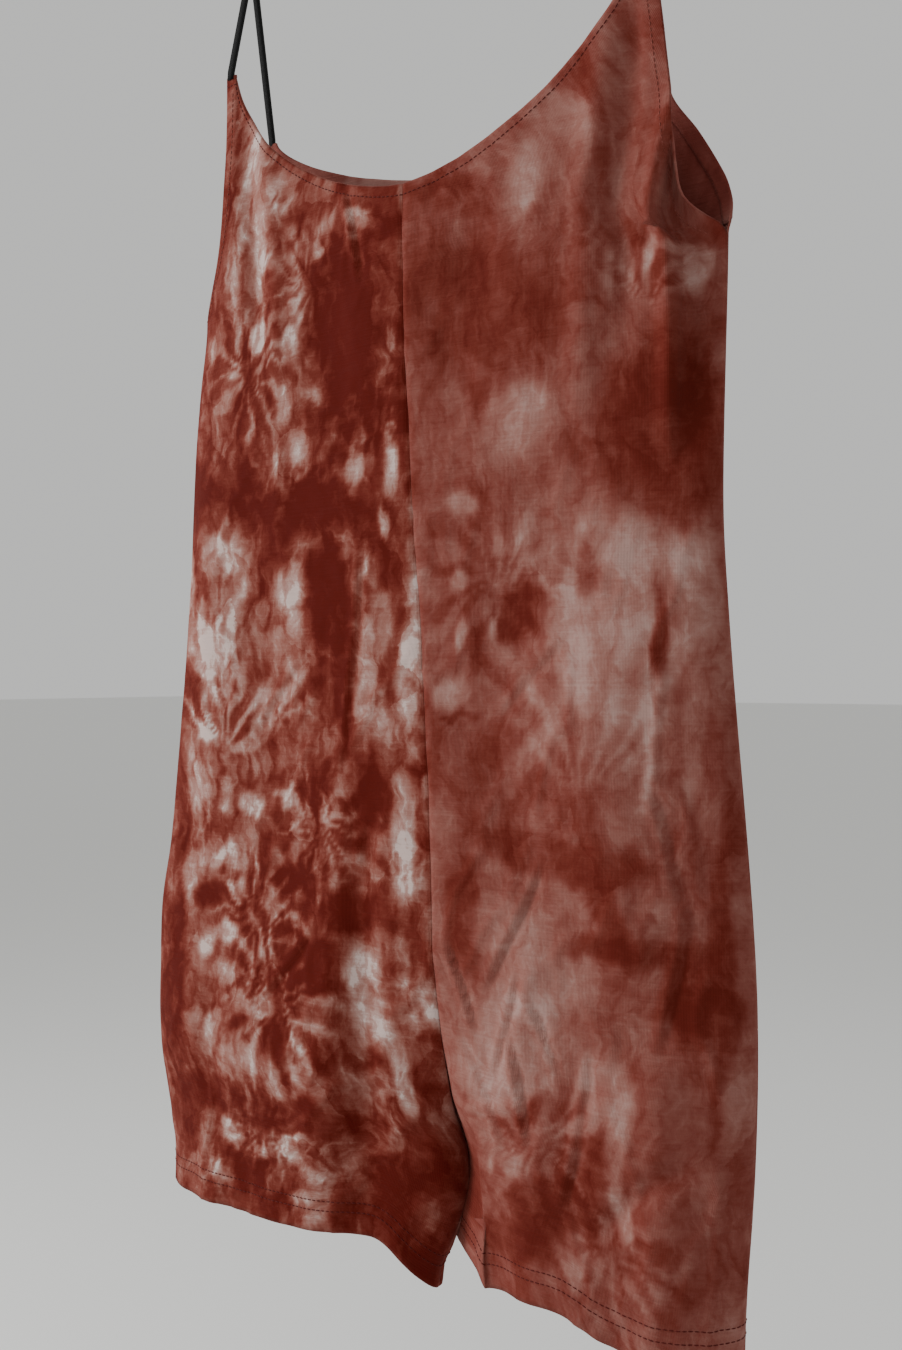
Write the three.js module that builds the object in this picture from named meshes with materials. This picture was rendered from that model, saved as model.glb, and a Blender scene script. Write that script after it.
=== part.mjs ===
// A sleeveless short-leg unitard in light cotton jersey, hung up by its two shoulder straps.
// Millimetres. +X is the wearer's left, -Y the front and +Z up. The origin lies midway between
// the two points where the straps hang over a rail, so every height is a drop below zero.
import * as THREE from "three";

// Cloth and sewing
const CLOTH = 0.9; // thickness of the jersey
const CLEARANCE = 0.3; // between neighbouring pieces
const EDGE_TURN = 8.5; // width of the turned neck and armhole edges, and of a strap point
const EDGE_STITCH = 6; // from a neck or armhole edge to its line of topstitching
const SEAM_ALLOWANCE = 6.5; // width of an overlocked seam on the inside
const SEAM_THICKNESS = 1.4; // its two layers of cloth with their thread
const THREAD_WIDTH = 1; // of a line of topstitching
const THREAD_RISE = 0.5; // how far the thread stands off the cloth
const HEM_DEPTH = 22; // cloth turned up inside each leg
const HEM_STITCH = 13; // from the leg's edge to the lower line of topstitching
const STITCH_SPACING = 6.4; // between the two lines of a twin needle

// Heights
const FRONT_STRAP_DROP = 70; // rail to the front strap points
const BACK_STRAP_DROP = 103; // rail to the back strap points
const FRONT_NECK_DEPTH = 101; // front strap points to the lowest point of the neck
const BACK_NECK_DEPTH = 47;
const ARMHOLE_DEPTH = 150; // front strap points to the underarm
const UNDERARM_TO_WAIST = 145;
const WAIST_TO_HIP = 255;
const HIP_TO_CROTCH = 92;
const LEG_LENGTH = 78; // crotch to the hem, at the outside of the leg
const INNER_CORNER_DROP = 10; // how much lower the hem hangs at the inside of the leg
const PINCH_HEIGHT = 130; // above the crotch, where the front and back centre seams part

// Half widths and half depths, as the garment hangs
const FRONT_STRAP_X = 142;
const BACK_STRAP_X = 138;
const CHEST = { width: 185, depth: 26 };
const WAIST = { width: 185, depth: 24 };
const HIP = { width: 210, depth: 30 };
const HEM = { width: 205, depth: 29 };
const SEAM_DRIFT = 22; // the centre seams swing this far towards +X by the hips
const HIP_SWING = 8; // the hips swing this far towards -X
const LEG_SPREAD = 10; // each leg's inner edge from the crotch line, at the hem

// Shoulder straps
const STRAP = { width: 5, thickness: 2.2 };
const CROWN = { x: 140, flat: 4, radius: 1.5 }; // where a strap bends over the rail

// Shape exponents of the curved edges
const FRONT_NECK_CURVE = 1.65;
const BACK_NECK_CURVE = 1.5;
const FRONT_ARMHOLE_CURVE = 3;
const BACK_ARMHOLE_CURVE = 2;

const COLOUR = { rust: 0x8a3a30, dusty: 0xa4605a, pale: 0xb98a84, thread: 0x4a1a1c, black: 0x151516 };
const RIGHT = -1;
const LEFT = 1;
const FRONT = -1;
const BACK = 1;

const underarmZ = -FRONT_STRAP_DROP - ARMHOLE_DEPTH;
const waistZ = underarmZ - UNDERARM_TO_WAIST;
const hipZ = waistZ - WAIST_TO_HIP;
const crotchZ = hipZ - HIP_TO_CROTCH;
const hemZ = crotchZ - LEG_LENGTH;

const SIDES = { right: RIGHT, left: LEFT };
const FACES = {
  front: {
    face: FRONT,
    strapX: FRONT_STRAP_X,
    top: -FRONT_STRAP_DROP,
    neckDepth: FRONT_NECK_DEPTH,
    neckCurve: FRONT_NECK_CURVE,
    armholeCurve: FRONT_ARMHOLE_CURVE,
  },
  back: {
    face: BACK,
    strapX: BACK_STRAP_X,
    top: -BACK_STRAP_DROP,
    neckDepth: BACK_NECK_DEPTH,
    neckCurve: BACK_NECK_CURVE,
    armholeCurve: BACK_ARMHOLE_CURVE,
  },
};

const MIDDLE_COLUMNS = 5; // across a panel, between its seam allowances
const BUST_EASE = 1.9; // packs the rows above the underarm closer together near it
const BODY_ROWS = { leg: 2, pinch: 6, hip: 3, waist: 2, bust: 6 };

const { lerp, smoothstep, clamp } = THREE.MathUtils;

// Goes smoothly from 0 at one height to 1 at a lower one.
const descent = (z, from, to) => smoothstep(-z, -from, -to);

const GIRTHS = [
  { z: underarmZ, ...CHEST },
  { z: waistZ, ...WAIST },
  { z: hipZ, ...HIP },
  { z: hemZ, ...HEM },
];

// The half width or half depth of the garment at a height.
function girth(z, key) {
  let value = GIRTHS[0][key];
  for (let i = 1; i < GIRTHS.length; i++) {
    value = lerp(value, GIRTHS[i][key], descent(z, GIRTHS[i - 1].z, GIRTHS[i].z));
  }
  return value;
}

// One cross-section of a panel: how deep the centre seam is pinched, and where its two ends are.
function section(side, z) {
  const pinch = descent(z, crotchZ + PINCH_HEIGHT, crotchZ);
  const legs = clamp((crotchZ - z) / LEG_LENGTH, 0, 1);
  const seam = SEAM_DRIFT * descent(z, underarmZ, hipZ) + side * LEG_SPREAD * legs;
  const edge = side * girth(z, "width") - HIP_SWING * descent(z, waistZ, hipZ);
  const depth = girth(z, "depth");
  const rise = 2 * pinch * depth;
  const run = Math.sqrt(1 - pinch) * Math.abs(edge - seam);
  const lean = rise / Math.hypot(rise, run);
  const inner = seam + side * (CLEARANCE + lean * CLOTH) / 2;
  return { pinch, depth, inner, outer: edge };
}

// A point on the middle of the cloth. t runs from 0 at the centre seam or inseam to 1 at the side.
function skin(side, face, t, level) {
  const { pinch, depth, inner, outer } = section(side, level);
  const s = (1 - Math.cos(Math.PI * t)) / 2;
  const shape = Math.sqrt(Math.max(0, (1 - s) * ((1 - pinch) * (1 + s) + 4 * pinch * s)));
  const drop = INNER_CORNER_DROP * (1 - s) * descent(level, crotchZ + PINCH_HEIGHT, hemZ);
  return new THREE.Vector3(
    lerp(inner, outer, s),
    face * (CLEARANCE / 2 + depth * shape),
    level - drop,
  );
}

// The same point with the cloth's outward direction there.
function clothAt(side, face, t, level) {
  const step = 1e-3;
  const point = skin(side, face, t, level);
  const t0 = t < 0.5 ? t : t - step;
  const across = skin(side, face, t0 + step, level).sub(skin(side, face, t0, level));
  const up = skin(side, face, t, level + step).sub(skin(side, face, t, level - step));
  const normal = across.cross(up).multiplyScalar(-side * face).normalize();
  return { point, normal };
}

// A horizontal run of cloth from the centre to the side, measured along the cloth.
class Row extends THREE.Curve {
  constructor(side, face, level) {
    super();
    Object.assign(this, { side, face, level });
  }

  getPoint(t) {
    return skin(this.side, this.face, t, this.level);
  }
}

// The neck edge from the centre up to the inner corner of the strap point.
class NeckEdge extends THREE.Curve {
  constructor(cut) {
    super();
    this.cut = cut;
  }

  getPoint(t) {
    const { strapX, top, neckDepth, neckCurve } = this.cut;
    const angle = (t * Math.PI) / 2;
    const x = (strapX - EDGE_TURN / 2) * Math.pow(Math.sin(angle), 2 / neckCurve);
    const z = top - neckDepth * Math.pow(Math.cos(angle), 2 / neckCurve);
    return new THREE.Vector2(x, z);
  }
}

// Distances from the centre line of the columns of a row of a given length.
function columnDistances(length) {
  const middle = [];
  for (let i = 0; i <= MIDDLE_COLUMNS; i++) {
    middle.push(lerp(SEAM_ALLOWANCE, length - EDGE_TURN, i / MIDDLE_COLUMNS));
  }
  return [0, ...middle, length - SEAM_ALLOWANCE, length];
}

const COLUMNS = columnDistances(100).length;
const BAND_COLUMN = COLUMNS - 3; // the column EDGE_TURN in from the side

function levelRow(side, face, level) {
  const row = new Row(side, face, level);
  const length = row.getLength();
  return columnDistances(length).map((distance) =>
    clothAt(side, face, row.getUtoTmapping(distance / length), level),
  );
}

// The cloth at a place given by x and z, for the rows above the underarm.
function clothOver(side, face, x, z) {
  const { inner, outer } = section(side, z);
  const s = clamp((side * x - inner) / (outer - inner), 0, 1);
  return clothAt(side, face, Math.acos(1 - 2 * s) / Math.PI, z);
}

// The rows above the underarm lean from the level bust row to the neck edge, and end on the armhole.
function upperRows(side, cut, bustRow) {
  const neck = new NeckEdge(cut);
  const neckLength = neck.getLength();
  const band = cut.strapX - EDGE_TURN / 2;
  const tops = columnDistances(neckLength + EDGE_TURN).map((distance) =>
    distance < neckLength
      ? neck.getPointAt(clamp(distance / neckLength, 0, 1))
      : new THREE.Vector2(band + distance - neckLength, cut.top),
  );
  const bust = bustRow.map(({ point }) => new THREE.Vector2(side * point.x, point.z));
  const underarm = bust[COLUMNS - 1];
  const corner = tops[COLUMNS - 1];
  const armholeX = (w) => {
    const drop = Math.pow(1 - w, cut.armholeCurve);
    return lerp(corner.x, underarm.x, drop) - lerp(underarm.x, corner.x, w);
  };
  const rows = [];
  for (let r = 1; r <= BODY_ROWS.bust + 1; r++) {
    rows.push(
      bust.map((low, k) => {
        const high = tops[k];
        const hemmed = 1 - EDGE_TURN / low.distanceTo(high);
        const w = r > BODY_ROWS.bust ? 1 : (r / BODY_ROWS.bust) ** BUST_EASE * hemmed;
        const pull = Math.min(1, (k / BAND_COLUMN) ** 2);
        return clothOver(
          side,
          cut.face,
          lerp(low.x, high.x, w) + pull * armholeX(w),
          lerp(low.y, high.y, w),
        );
      }),
    );
  }
  return rows;
}

// Heights from a to b in equal steps, without a itself.
const steps = (a, b, count) => Array.from({ length: count }, (_, i) => lerp(a, b, (i + 1) / count));

const LEVELS = [
  hemZ,
  hemZ + HEM_DEPTH,
  ...steps(hemZ + HEM_DEPTH, crotchZ, BODY_ROWS.leg),
  ...steps(crotchZ, crotchZ + PINCH_HEIGHT, BODY_ROWS.pinch),
  ...steps(crotchZ + PINCH_HEIGHT, waistZ, BODY_ROWS.hip),
  ...steps(waistZ, underarmZ - EDGE_TURN, BODY_ROWS.waist),
  underarmZ,
];
const HEM_ROW = 1;
const CROTCH_ROW = HEM_ROW + BODY_ROWS.leg;
const UNDERARM_ROW = LEVELS.length - 1;
const TOP_ROW = UNDERARM_ROW + BODY_ROWS.bust + 1;

// Every panel is a grid of rows, bottom to top, whose columns run from the centre to the side.
const panels = {};
for (const [faceName, cut] of Object.entries(FACES)) {
  for (const [sideName, side] of Object.entries(SIDES)) {
    const rows = LEVELS.map((level) => levelRow(side, cut.face, level));
    rows.push(...upperRows(side, cut, rows[UNDERARM_ROW]));
    panels[`${faceName}_${sideName}`] = rows;
  }
}

// The cloth between the lines of a panel's grid, at fractional row r and column c.
function between(panel, r, c) {
  const [r0, c0] = [Math.min(Math.floor(r), TOP_ROW - 1), Math.min(Math.floor(c), COLUMNS - 2)];
  const mix = (a, b, amount) => ({
    point: a.point.clone().lerp(b.point, amount),
    normal: a.normal.clone().lerp(b.normal, amount).normalize(),
  });
  const low = mix(panel[r0][c0], panel[r0][c0 + 1], c - c0);
  const high = mix(panel[r0 + 1][c0], panel[r0 + 1][c0 + 1], c - c0);
  return mix(low, high, r - r0);
}

// The fractional row that lies a distance below row r at column c.
function rowBelow(panel, r, c, distance) {
  const height = panel[r][c].point.distanceTo(panel[r - 1][c].point);
  return r - distance / height;
}

// The fractional column that lies a distance in from the side, within the turned edge.
const columnFromSide = (distance) =>
  distance < SEAM_ALLOWANCE
    ? COLUMNS - 1 - distance / SEAM_ALLOWANCE
    : BAND_COLUMN + (EDGE_TURN - distance) / (EDGE_TURN - SEAM_ALLOWANCE);

const range = (from, to) => Array.from({ length: to - from + 1 }, (_, i) => from + i);

// Turns a box or a ring into sheet cloth: place() says where each of its corners goes.
function moulded(geometry, place) {
  const position = geometry.getAttribute("position");
  const uv = geometry.getAttribute("uv");
  for (let i = 0; i < position.count; i++) {
    const p = place(new THREE.Vector3().fromBufferAttribute(position, i), uv.getX(i), uv.getY(i));
    position.setXYZ(i, p.x, p.y, p.z);
  }
  geometry.computeVertexNormals();
  return geometry;
}

const raised = ({ point, normal }, height) => point.clone().addScaledVector(normal, height);

// A sheet over a grid, between two heights off the middle of the cloth. Columns turn to the left
// of the outward direction, seen from outside.
function sheet(grid, low, high) {
  const rows = grid.length - 1;
  const columns = grid[0].length - 1;
  return moulded(new THREE.BoxGeometry(1, 1, 1, columns, rows, 1), (corner) => {
    const at = grid[Math.round((corner.y + 0.5) * rows)][Math.round((corner.x + 0.5) * columns)];
    return raised(at, corner.z > 0 ? high : low);
  });
}

// The same grid turned a quarter, for a sheet that lies against another: a box's faces are split
// into triangles one way, so this makes two that face each other bend along the same lines.
function quarterTurn(grid) {
  const columns = grid[0].map((_, c) => grid.map((row) => row[c]));
  return columns.reverse();
}

// A closed band round a leg, between two edges and two heights off the middle of the cloth.
function band(lower, upper, low, high) {
  const count = lower.length;
  const corners = [
    [lower, high],
    [upper, high],
    [upper, low],
    [lower, low],
  ];
  return moulded(new THREE.TorusGeometry(1, 0.1, corners.length, count), (_, u, v) => {
    const [edge, height] = corners[Math.round(v * corners.length) % corners.length];
    return raised(edge[Math.round(u * count) % count], height);
  });
}

const garment = new THREE.Group();

function add(name, geometry, color, roughness = 0.9) {
  const material = new THREE.MeshStandardMaterial({ color, roughness, metalness: 0 });
  const mesh = new THREE.Mesh(geometry, material);
  mesh.name = name;
  garment.add(mesh);
}

// Seen from above, a sheet's columns run anticlockwise: this turns the rows that run the other way.
const turned = (side, face, grid) => (side * face > 0 ? grid.map((row) => [...row].reverse()) : grid);

const INSIDE = -(CLOTH / 2 + CLEARANCE);
const OUTSIDE = CLOTH / 2 + CLEARANCE;

// A strip over part of one panel, from lists of fractional rows and columns.
function strip(name, sideName, faceName, rows, columns, low, high, color) {
  const panel = panels[`${faceName}_${sideName}`];
  const grid = rows.map((r) => columns.map((c) => between(panel, r, c)));
  const ordered = turned(SIDES[sideName], FACES[faceName].face, grid);
  add(name, sheet(high < 0 ? quarterTurn(ordered) : ordered, low, high), color);
}

function addPanels() {
  for (const faceName of Object.keys(FACES)) {
    for (const sideName of Object.keys(SIDES)) {
      strip(
        `${faceName}_panel_${sideName}`,
        sideName,
        faceName,
        range(0, TOP_ROW),
        range(0, COLUMNS - 1),
        -CLOTH / 2,
        CLOTH / 2,
        sideName === "right" ? COLOUR.rust : COLOUR.dusty,
      );
    }
  }
}

// A line across both panels of the front or back, at fractional row r, from side to side.
function acrossNeck(faceName, r) {
  const columns = range(0, BAND_COLUMN);
  const right = columns.map((c) => between(panels[`${faceName}_right`], r, c));
  const left = columns.map((c) => between(panels[`${faceName}_left`], r, c));
  return [...right.reverse(), ...left];
}

// The neck edges are turned to the inside after the centre seam is sewn, so each is one strip.
function addNeckEdges() {
  for (const [faceName, cut] of Object.entries(FACES)) {
    const rowAt = (distance) => TOP_ROW - distance / EDGE_TURN;
    const facing = (grid) => (cut.face === FRONT ? grid : grid.map((row) => row.reverse()));
    const hem = [acrossNeck(faceName, TOP_ROW - 1), acrossNeck(faceName, TOP_ROW)];
    add(`${faceName}_neck_turn`, sheet(facing(hem), INSIDE - CLOTH, INSIDE), COLOUR.pale);
    const thread = [
      acrossNeck(faceName, rowAt(EDGE_STITCH + THREAD_WIDTH / 2)),
      acrossNeck(faceName, rowAt(EDGE_STITCH - THREAD_WIDTH / 2)),
    ];
    add(
      `${faceName}_neck_topstitch`,
      sheet(facing(thread), OUTSIDE, OUTSIDE + THREAD_RISE),
      COLOUR.thread,
    );
  }
}

// A line a distance in from the armhole edge: down the front, under the arm and up the back. It
// rounds the underarm through the given angles, where 90 degrees is on the side seam.
function alongArmhole(sideName, distance, angles) {
  const half = (faceName) => {
    const panel = panels[`${faceName}_${sideName}`];
    const under = angles.map(THREE.MathUtils.degToRad).map((angle) => {
      const r = rowBelow(panel, UNDERARM_ROW, COLUMNS - 1, distance * Math.sin(angle));
      return between(panel, r, columnFromSide(distance * Math.cos(angle)));
    });
    const c = columnFromSide(distance);
    const above = range(UNDERARM_ROW + 1, TOP_ROW).map((r) => between(panel, r, c));
    return [...under.reverse(), ...above];
  };
  return [...half("front").reverse(), ...half("back")];
}

function addArmholeEdges() {
  for (const [sideName, side] of Object.entries(SIDES)) {
    const lines = (inner, outer, angles) => {
      const grid = [inner, outer].map((distance) => alongArmhole(sideName, distance, angles));
      return side === RIGHT ? grid.map((row) => row.reverse()) : grid;
    };
    const hem = lines(EDGE_TURN - CLEARANCE, 0, [90]);
    add(`armhole_turn_${sideName}`, sheet(hem, INSIDE - CLOTH, INSIDE), COLOUR.pale);
    const half = THREAD_WIDTH / 2;
    const thread = lines(EDGE_STITCH + half, EDGE_STITCH - half, [0, 45, 90]);
    add(
      `armhole_topstitch_${sideName}`,
      sheet(thread, OUTSIDE, OUTSIDE + THREAD_RISE),
      COLOUR.thread,
    );
  }
}

// A line right round a leg, a distance above its edge.
function roundLeg(sideName, distance) {
  const r = (HEM_ROW * distance) / HEM_DEPTH;
  const walk = Object.entries(FACES).flatMap(([faceName, cut]) => {
    const line = range(0, COLUMNS - 1).map((c) => between(panels[`${faceName}_${sideName}`], r, c));
    return turned(SIDES[sideName], cut.face, [line])[0];
  });
  return walk;
}

function addLegHems() {
  for (const sideName of Object.keys(SIDES)) {
    const hem = band(roundLeg(sideName, 0), roundLeg(sideName, HEM_DEPTH), INSIDE - CLOTH, INSIDE);
    add(`leg_hem_${sideName}`, hem, COLOUR.pale);
    const rows = { lower: HEM_STITCH, upper: HEM_STITCH + STITCH_SPACING };
    for (const [rowName, height] of Object.entries(rows)) {
      const lower = roundLeg(sideName, height - THREAD_WIDTH / 2);
      const upper = roundLeg(sideName, height + THREAD_WIDTH / 2);
      const thread = band(lower, upper, OUTSIDE, OUTSIDE + THREAD_RISE);
      add(`leg_topstitch_${rowName}_${sideName}`, thread, COLOUR.thread);
    }
  }
}

// Overlocked seams, pressed to one side on the inside of the garment.
function addSeams() {
  const low = INSIDE - SEAM_THICKNESS;
  const hemTop = HEM_ROW + CLEARANCE / HEM_DEPTH;
  for (const faceName of Object.keys(FACES)) {
    const top = rowBelow(panels[`${faceName}_left`], TOP_ROW - 1, 0, CLEARANCE);
    const rows = [...range(CROTCH_ROW, TOP_ROW - 2), top];
    strip(`centre_${faceName}_seam`, "left", faceName, rows, [0, 1], low, INSIDE, COLOUR.rust);
  }
  for (const sideName of Object.keys(SIDES)) {
    const inseam = [hemTop, ...range(HEM_ROW + 1, CROTCH_ROW - 1)];
    const crotch = rowBelow(panels[`back_${sideName}`], CROTCH_ROW, 0, CLEARANCE);
    strip(
      `inseam_${sideName}`,
      sideName,
      "back",
      [...inseam, crotch],
      [0, 1],
      low,
      INSIDE,
      COLOUR.rust,
    );
    const side = [COLUMNS - 2, COLUMNS - 1];
    const under = rowBelow(
      panels[`back_${sideName}`],
      UNDERARM_ROW,
      COLUMNS - 1,
      EDGE_TURN + CLEARANCE,
    );
    const rows = [hemTop, ...range(HEM_ROW + 1, UNDERARM_ROW - 2), under];
    strip(`side_seam_${sideName}`, sideName, "back", rows, side, low, INSIDE, COLOUR.rust);
  }
}

// Where a strap's round end turns: just clear of the strap point, whichever way it swings.
function strapEnd(sideName, faceName) {
  const { face, strapX, top } = FACES[faceName];
  const side = SIDES[sideName];
  const reach = Math.hypot(STRAP.width, STRAP.thickness) / 2;
  const { point } = clothOver(side, face, strapX, top);
  return new THREE.Vector3(side * strapX, point.y, top + CLEARANCE + reach);
}

// A strap's middle line, from its front end over the rail to its back end.
function strapLine(sideName) {
  const front = strapEnd(sideName, "front");
  const back = strapEnd(sideName, "back");
  const x = SIDES[sideName] * CROWN.x;
  const height = STRAP.thickness / 2;
  const bend = CROWN.radius + height;
  const line = new THREE.CurvePath();
  const turn = (face) => {
    const corner = new THREE.Vector3(x, face * (CROWN.flat / 2 + bend), height);
    const flatEnd = new THREE.Vector3(x, (face * CROWN.flat) / 2, height);
    const end = face === FRONT ? front : back;
    const runEnd = corner.clone().lerp(end, bend / corner.distanceTo(end));
    return { corner, flatEnd, runEnd };
  };
  const [fore, aft] = [turn(FRONT), turn(BACK)];
  line.add(new THREE.LineCurve3(front, fore.runEnd));
  line.add(new THREE.QuadraticBezierCurve3(fore.runEnd, fore.corner, fore.flatEnd));
  line.add(new THREE.LineCurve3(fore.flatEnd, aft.flatEnd));
  line.add(new THREE.QuadraticBezierCurve3(aft.flatEnd, aft.corner, aft.runEnd));
  line.add(new THREE.LineCurve3(aft.runEnd, back));
  return line;
}

// The places along a strap where its flat band has a cross line, with its half width there.
function strapStations(line) {
  const half = STRAP.width / 2;
  const lengths = line.curves.map((curve) => curve.getLength());
  const total = lengths.reduce((a, b) => a + b, 0);
  const stations = [];
  const roundEnd = [0.15, 0.5, 1];
  let start = 0;
  line.curves.forEach((curve, i) => {
    const bends = curve instanceof THREE.QuadraticBezierCurve3;
    const count = bends ? 4 : 2;
    for (let k = i ? 1 : 0; k <= count; k++) {
      const u = k / count;
      stations.push({
        point: curve.getPointAt(u),
        tangent: curve.getTangentAt(u),
        distance: start + u * lengths[i],
        half,
      });
    }
    start += lengths[i];
  });
  const [first, last] = [stations[0], stations[stations.length - 1]];
  const rounded = (end, sign) =>
    roundEnd.map((share) => ({
      point: end.point.clone().addScaledVector(end.tangent, sign * half * (1 - share)),
      tangent: end.tangent,
      distance: sign < 0 ? -half * (1 - share) : total + half * (1 - share),
      half: half * Math.sqrt(1 - (1 - share) ** 2),
    }));
  return [
    ...rounded(first, -1),
    ...stations.slice(1, -1),
    ...rounded(last, 1).reverse(),
  ];
}

function addStraps() {
  const across = new THREE.Vector3(1, 0, 0);
  for (const sideName of Object.keys(SIDES)) {
    const grid = strapStations(strapLine(sideName)).map(({ point, tangent, half }) => {
      const normal = across.clone().cross(tangent).normalize();
      return [RIGHT, LEFT].map((edge) => ({
        point: point.clone().addScaledVector(across, edge * half),
        normal,
      }));
    });
    const geometry = sheet(grid, -STRAP.thickness / 2, STRAP.thickness / 2);
    add(`strap_${sideName}`, geometry, COLOUR.black, 0.6);
  }
}

addPanels();
addNeckEdges();
addArmholeEdges();
addLegHems();
addSeams();
addStraps();

export default garment;
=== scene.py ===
import math
from functools import partial

import bmesh
import bpy
import numpy as np
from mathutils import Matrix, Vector


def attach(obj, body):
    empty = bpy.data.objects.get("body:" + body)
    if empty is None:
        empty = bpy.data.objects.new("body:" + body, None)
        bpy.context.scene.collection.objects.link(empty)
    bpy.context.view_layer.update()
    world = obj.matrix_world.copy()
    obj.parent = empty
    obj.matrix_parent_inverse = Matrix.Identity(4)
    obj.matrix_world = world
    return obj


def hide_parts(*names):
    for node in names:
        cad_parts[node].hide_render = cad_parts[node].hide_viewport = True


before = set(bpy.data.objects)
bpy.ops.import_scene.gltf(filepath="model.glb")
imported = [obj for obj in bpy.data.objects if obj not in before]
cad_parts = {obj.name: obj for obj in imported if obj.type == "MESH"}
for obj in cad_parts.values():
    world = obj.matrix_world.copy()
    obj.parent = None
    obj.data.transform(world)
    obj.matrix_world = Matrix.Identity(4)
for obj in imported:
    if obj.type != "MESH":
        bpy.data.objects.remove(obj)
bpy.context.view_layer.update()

MM = 0.001

# ---------------------------------------------------------------- sizes, as the CAD has them
CLOTH = 0.9 * MM
EDGE_TURN = 8.5 * MM
EDGE_STITCH = 6 * MM
SEAM_ALLOWANCE = 6.5 * MM
HEM_DEPTH = 22 * MM
HEM_STITCHES = (13 * MM, 19.4 * MM)
FRONT_TOP, BACK_TOP = -70 * MM, -103 * MM
UNDERARM = -220 * MM
WAIST = -365 * MM
HIP = -620 * MM
CROTCH = -712 * MM
HEM = -790 * MM
PINCH_HEIGHT = 130 * MM
CLEARANCE = 0.3 * MM
SEAM_DRIFT = 22 * MM
HIP_SWING = 8 * MM
LEG_SPREAD = 10 * MM
INNER_CORNER_DROP = 10 * MM
GIRTHS = ((UNDERARM, 185 * MM, 26 * MM), (WAIST, 185 * MM, 24 * MM),
          (HIP, 210 * MM, 30 * MM), (HEM, 205 * MM, 29 * MM))
CUTS = {
    "front": dict(face=-1, strap_x=142 * MM, top=FRONT_TOP, neck=101 * MM, neck_curve=1.65, arm_curve=3),
    "back": dict(face=1, strap_x=138 * MM, top=BACK_TOP, neck=47 * MM, neck_curve=1.5, arm_curve=2),
}
SIDES = {"right": -1, "left": 1}

# ---------------------------------------------------------------- sizes that only this model has
JERSEY = 0.7 * MM          # thickness of one layer as it is shown
SEAM_LAYERS = 1.2 * MM     # thickness of the two layers of a seam allowance, pressed together
SEAM_PULL = 0.2 * MM       # how far the sewing draws the edges of two panels together
GRID = 2.6 * MM            # spacing of the cloth's mesh
ROW_LENGTHS = {-1: 235 * MM, 1: 215 * MM}   # about how long a row of cloth is, for the mesh's columns
ARM_HEIGHT = 110 * MM      # about how high the cloth goes above the underarm, for the mesh's rows
STITCH_SPACING = 3.2 * MM
STITCH_LIFT = 0.47 * MM    # from the middle of the cloth to the middle of a stitch
LOOP_SPACING = 2.2 * MM    # of the overlock thread
LOOP_LIFT = 1.85 * MM      # from the middle of the panel inwards to the overlock thread
LOOP_THREAD = 0.17 * MM    # its radius

scene = bpy.context.scene


# ---------------------------------------------------------------- small helpers
def smooth(t):
    t = np.clip(t, 0, 1)
    return t * t * (3 - 2 * t)


def descent(z, start, end):
    """Goes smoothly from 0 at height start to 1 at the lower height end."""
    return smooth((start - z) / (start - end))


def mix(a, b, t):
    return a + (b - a) * t


def unit(vectors):
    return vectors / np.linalg.norm(vectors, axis=-1, keepdims=True)


def distances(points):
    """How far each point lies along a line of points."""
    return np.concatenate([[0], np.cumsum(np.linalg.norm(np.diff(points, axis=0), axis=1))])


def read_line(at, run, vectors):
    """Vectors given at the distances run, read at the distances at."""
    return np.stack([np.interp(at, run, vectors[:, k]) for k in range(3)], -1)


def lattice(ix, iy, seed):
    """A repeatable value from 0 to 1 for each lattice point."""
    h = (ix * 374761393 + iy * 668265263 + seed * 2147483647) & 0xFFFFFFFF
    h = ((h ^ (h >> 13)) * 1274126177) & 0xFFFFFFFF
    return ((h ^ (h >> 16)) & 0xFFFF) / 65535.0


def ripple(x, y, seed):
    """Smooth value noise from -1 to 1, one feature to each unit of x and y."""
    x0, y0 = np.floor(x), np.floor(y)
    fx, fy = smooth(x - x0), smooth(y - y0)
    ix, iy = x0.astype(np.int64), y0.astype(np.int64)
    low = mix(lattice(ix, iy, seed), lattice(ix + 1, iy, seed), fx)
    high = mix(lattice(ix, iy + 1, seed), lattice(ix + 1, iy + 1, seed), fx)
    return mix(low, high, fy) * 2 - 1


def cloudy(x, y, seed, octaves=4):
    """Noise with finer and finer detail added at half the strength each time."""
    total, size = 0, 1.0
    for octave in range(octaves):
        total = total + ripple(x * 2 ** octave, y * 2 ** octave, seed + octave) * size
        size *= 0.5
    return total


# ---------------------------------------------------------------- the shape in which the jersey hangs
def girth(z, which):
    """The half width (which = 1) or half depth (which = 2) of the body at each height."""
    value = np.full_like(z, GIRTHS[0][which])
    for above, below in zip(GIRTHS, GIRTHS[1:]):
        value = mix(value, below[which], descent(z, above[0], below[0]))
    return value


def section(side, z):
    """How far the centre seam is pinched in, the half depth, and the panel's two ends, at each height."""
    pinch = descent(z, CROTCH + PINCH_HEIGHT, CROTCH)
    legs = np.clip((CROTCH - z) / (CROTCH - HEM), 0, 1)
    seam = SEAM_DRIFT * descent(z, UNDERARM, HIP) + side * LEG_SPREAD * legs
    edge = side * girth(z, 1) - HIP_SWING * descent(z, WAIST, HIP)
    depth = girth(z, 2)
    rise = 2 * pinch * depth
    lean = rise / np.hypot(rise, np.sqrt(1 - pinch) * np.abs(edge - seam) + 1e-9)
    inner = seam + side * (CLEARANCE + lean * CLOTH) / 2
    return pinch, depth, inner, edge


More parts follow.
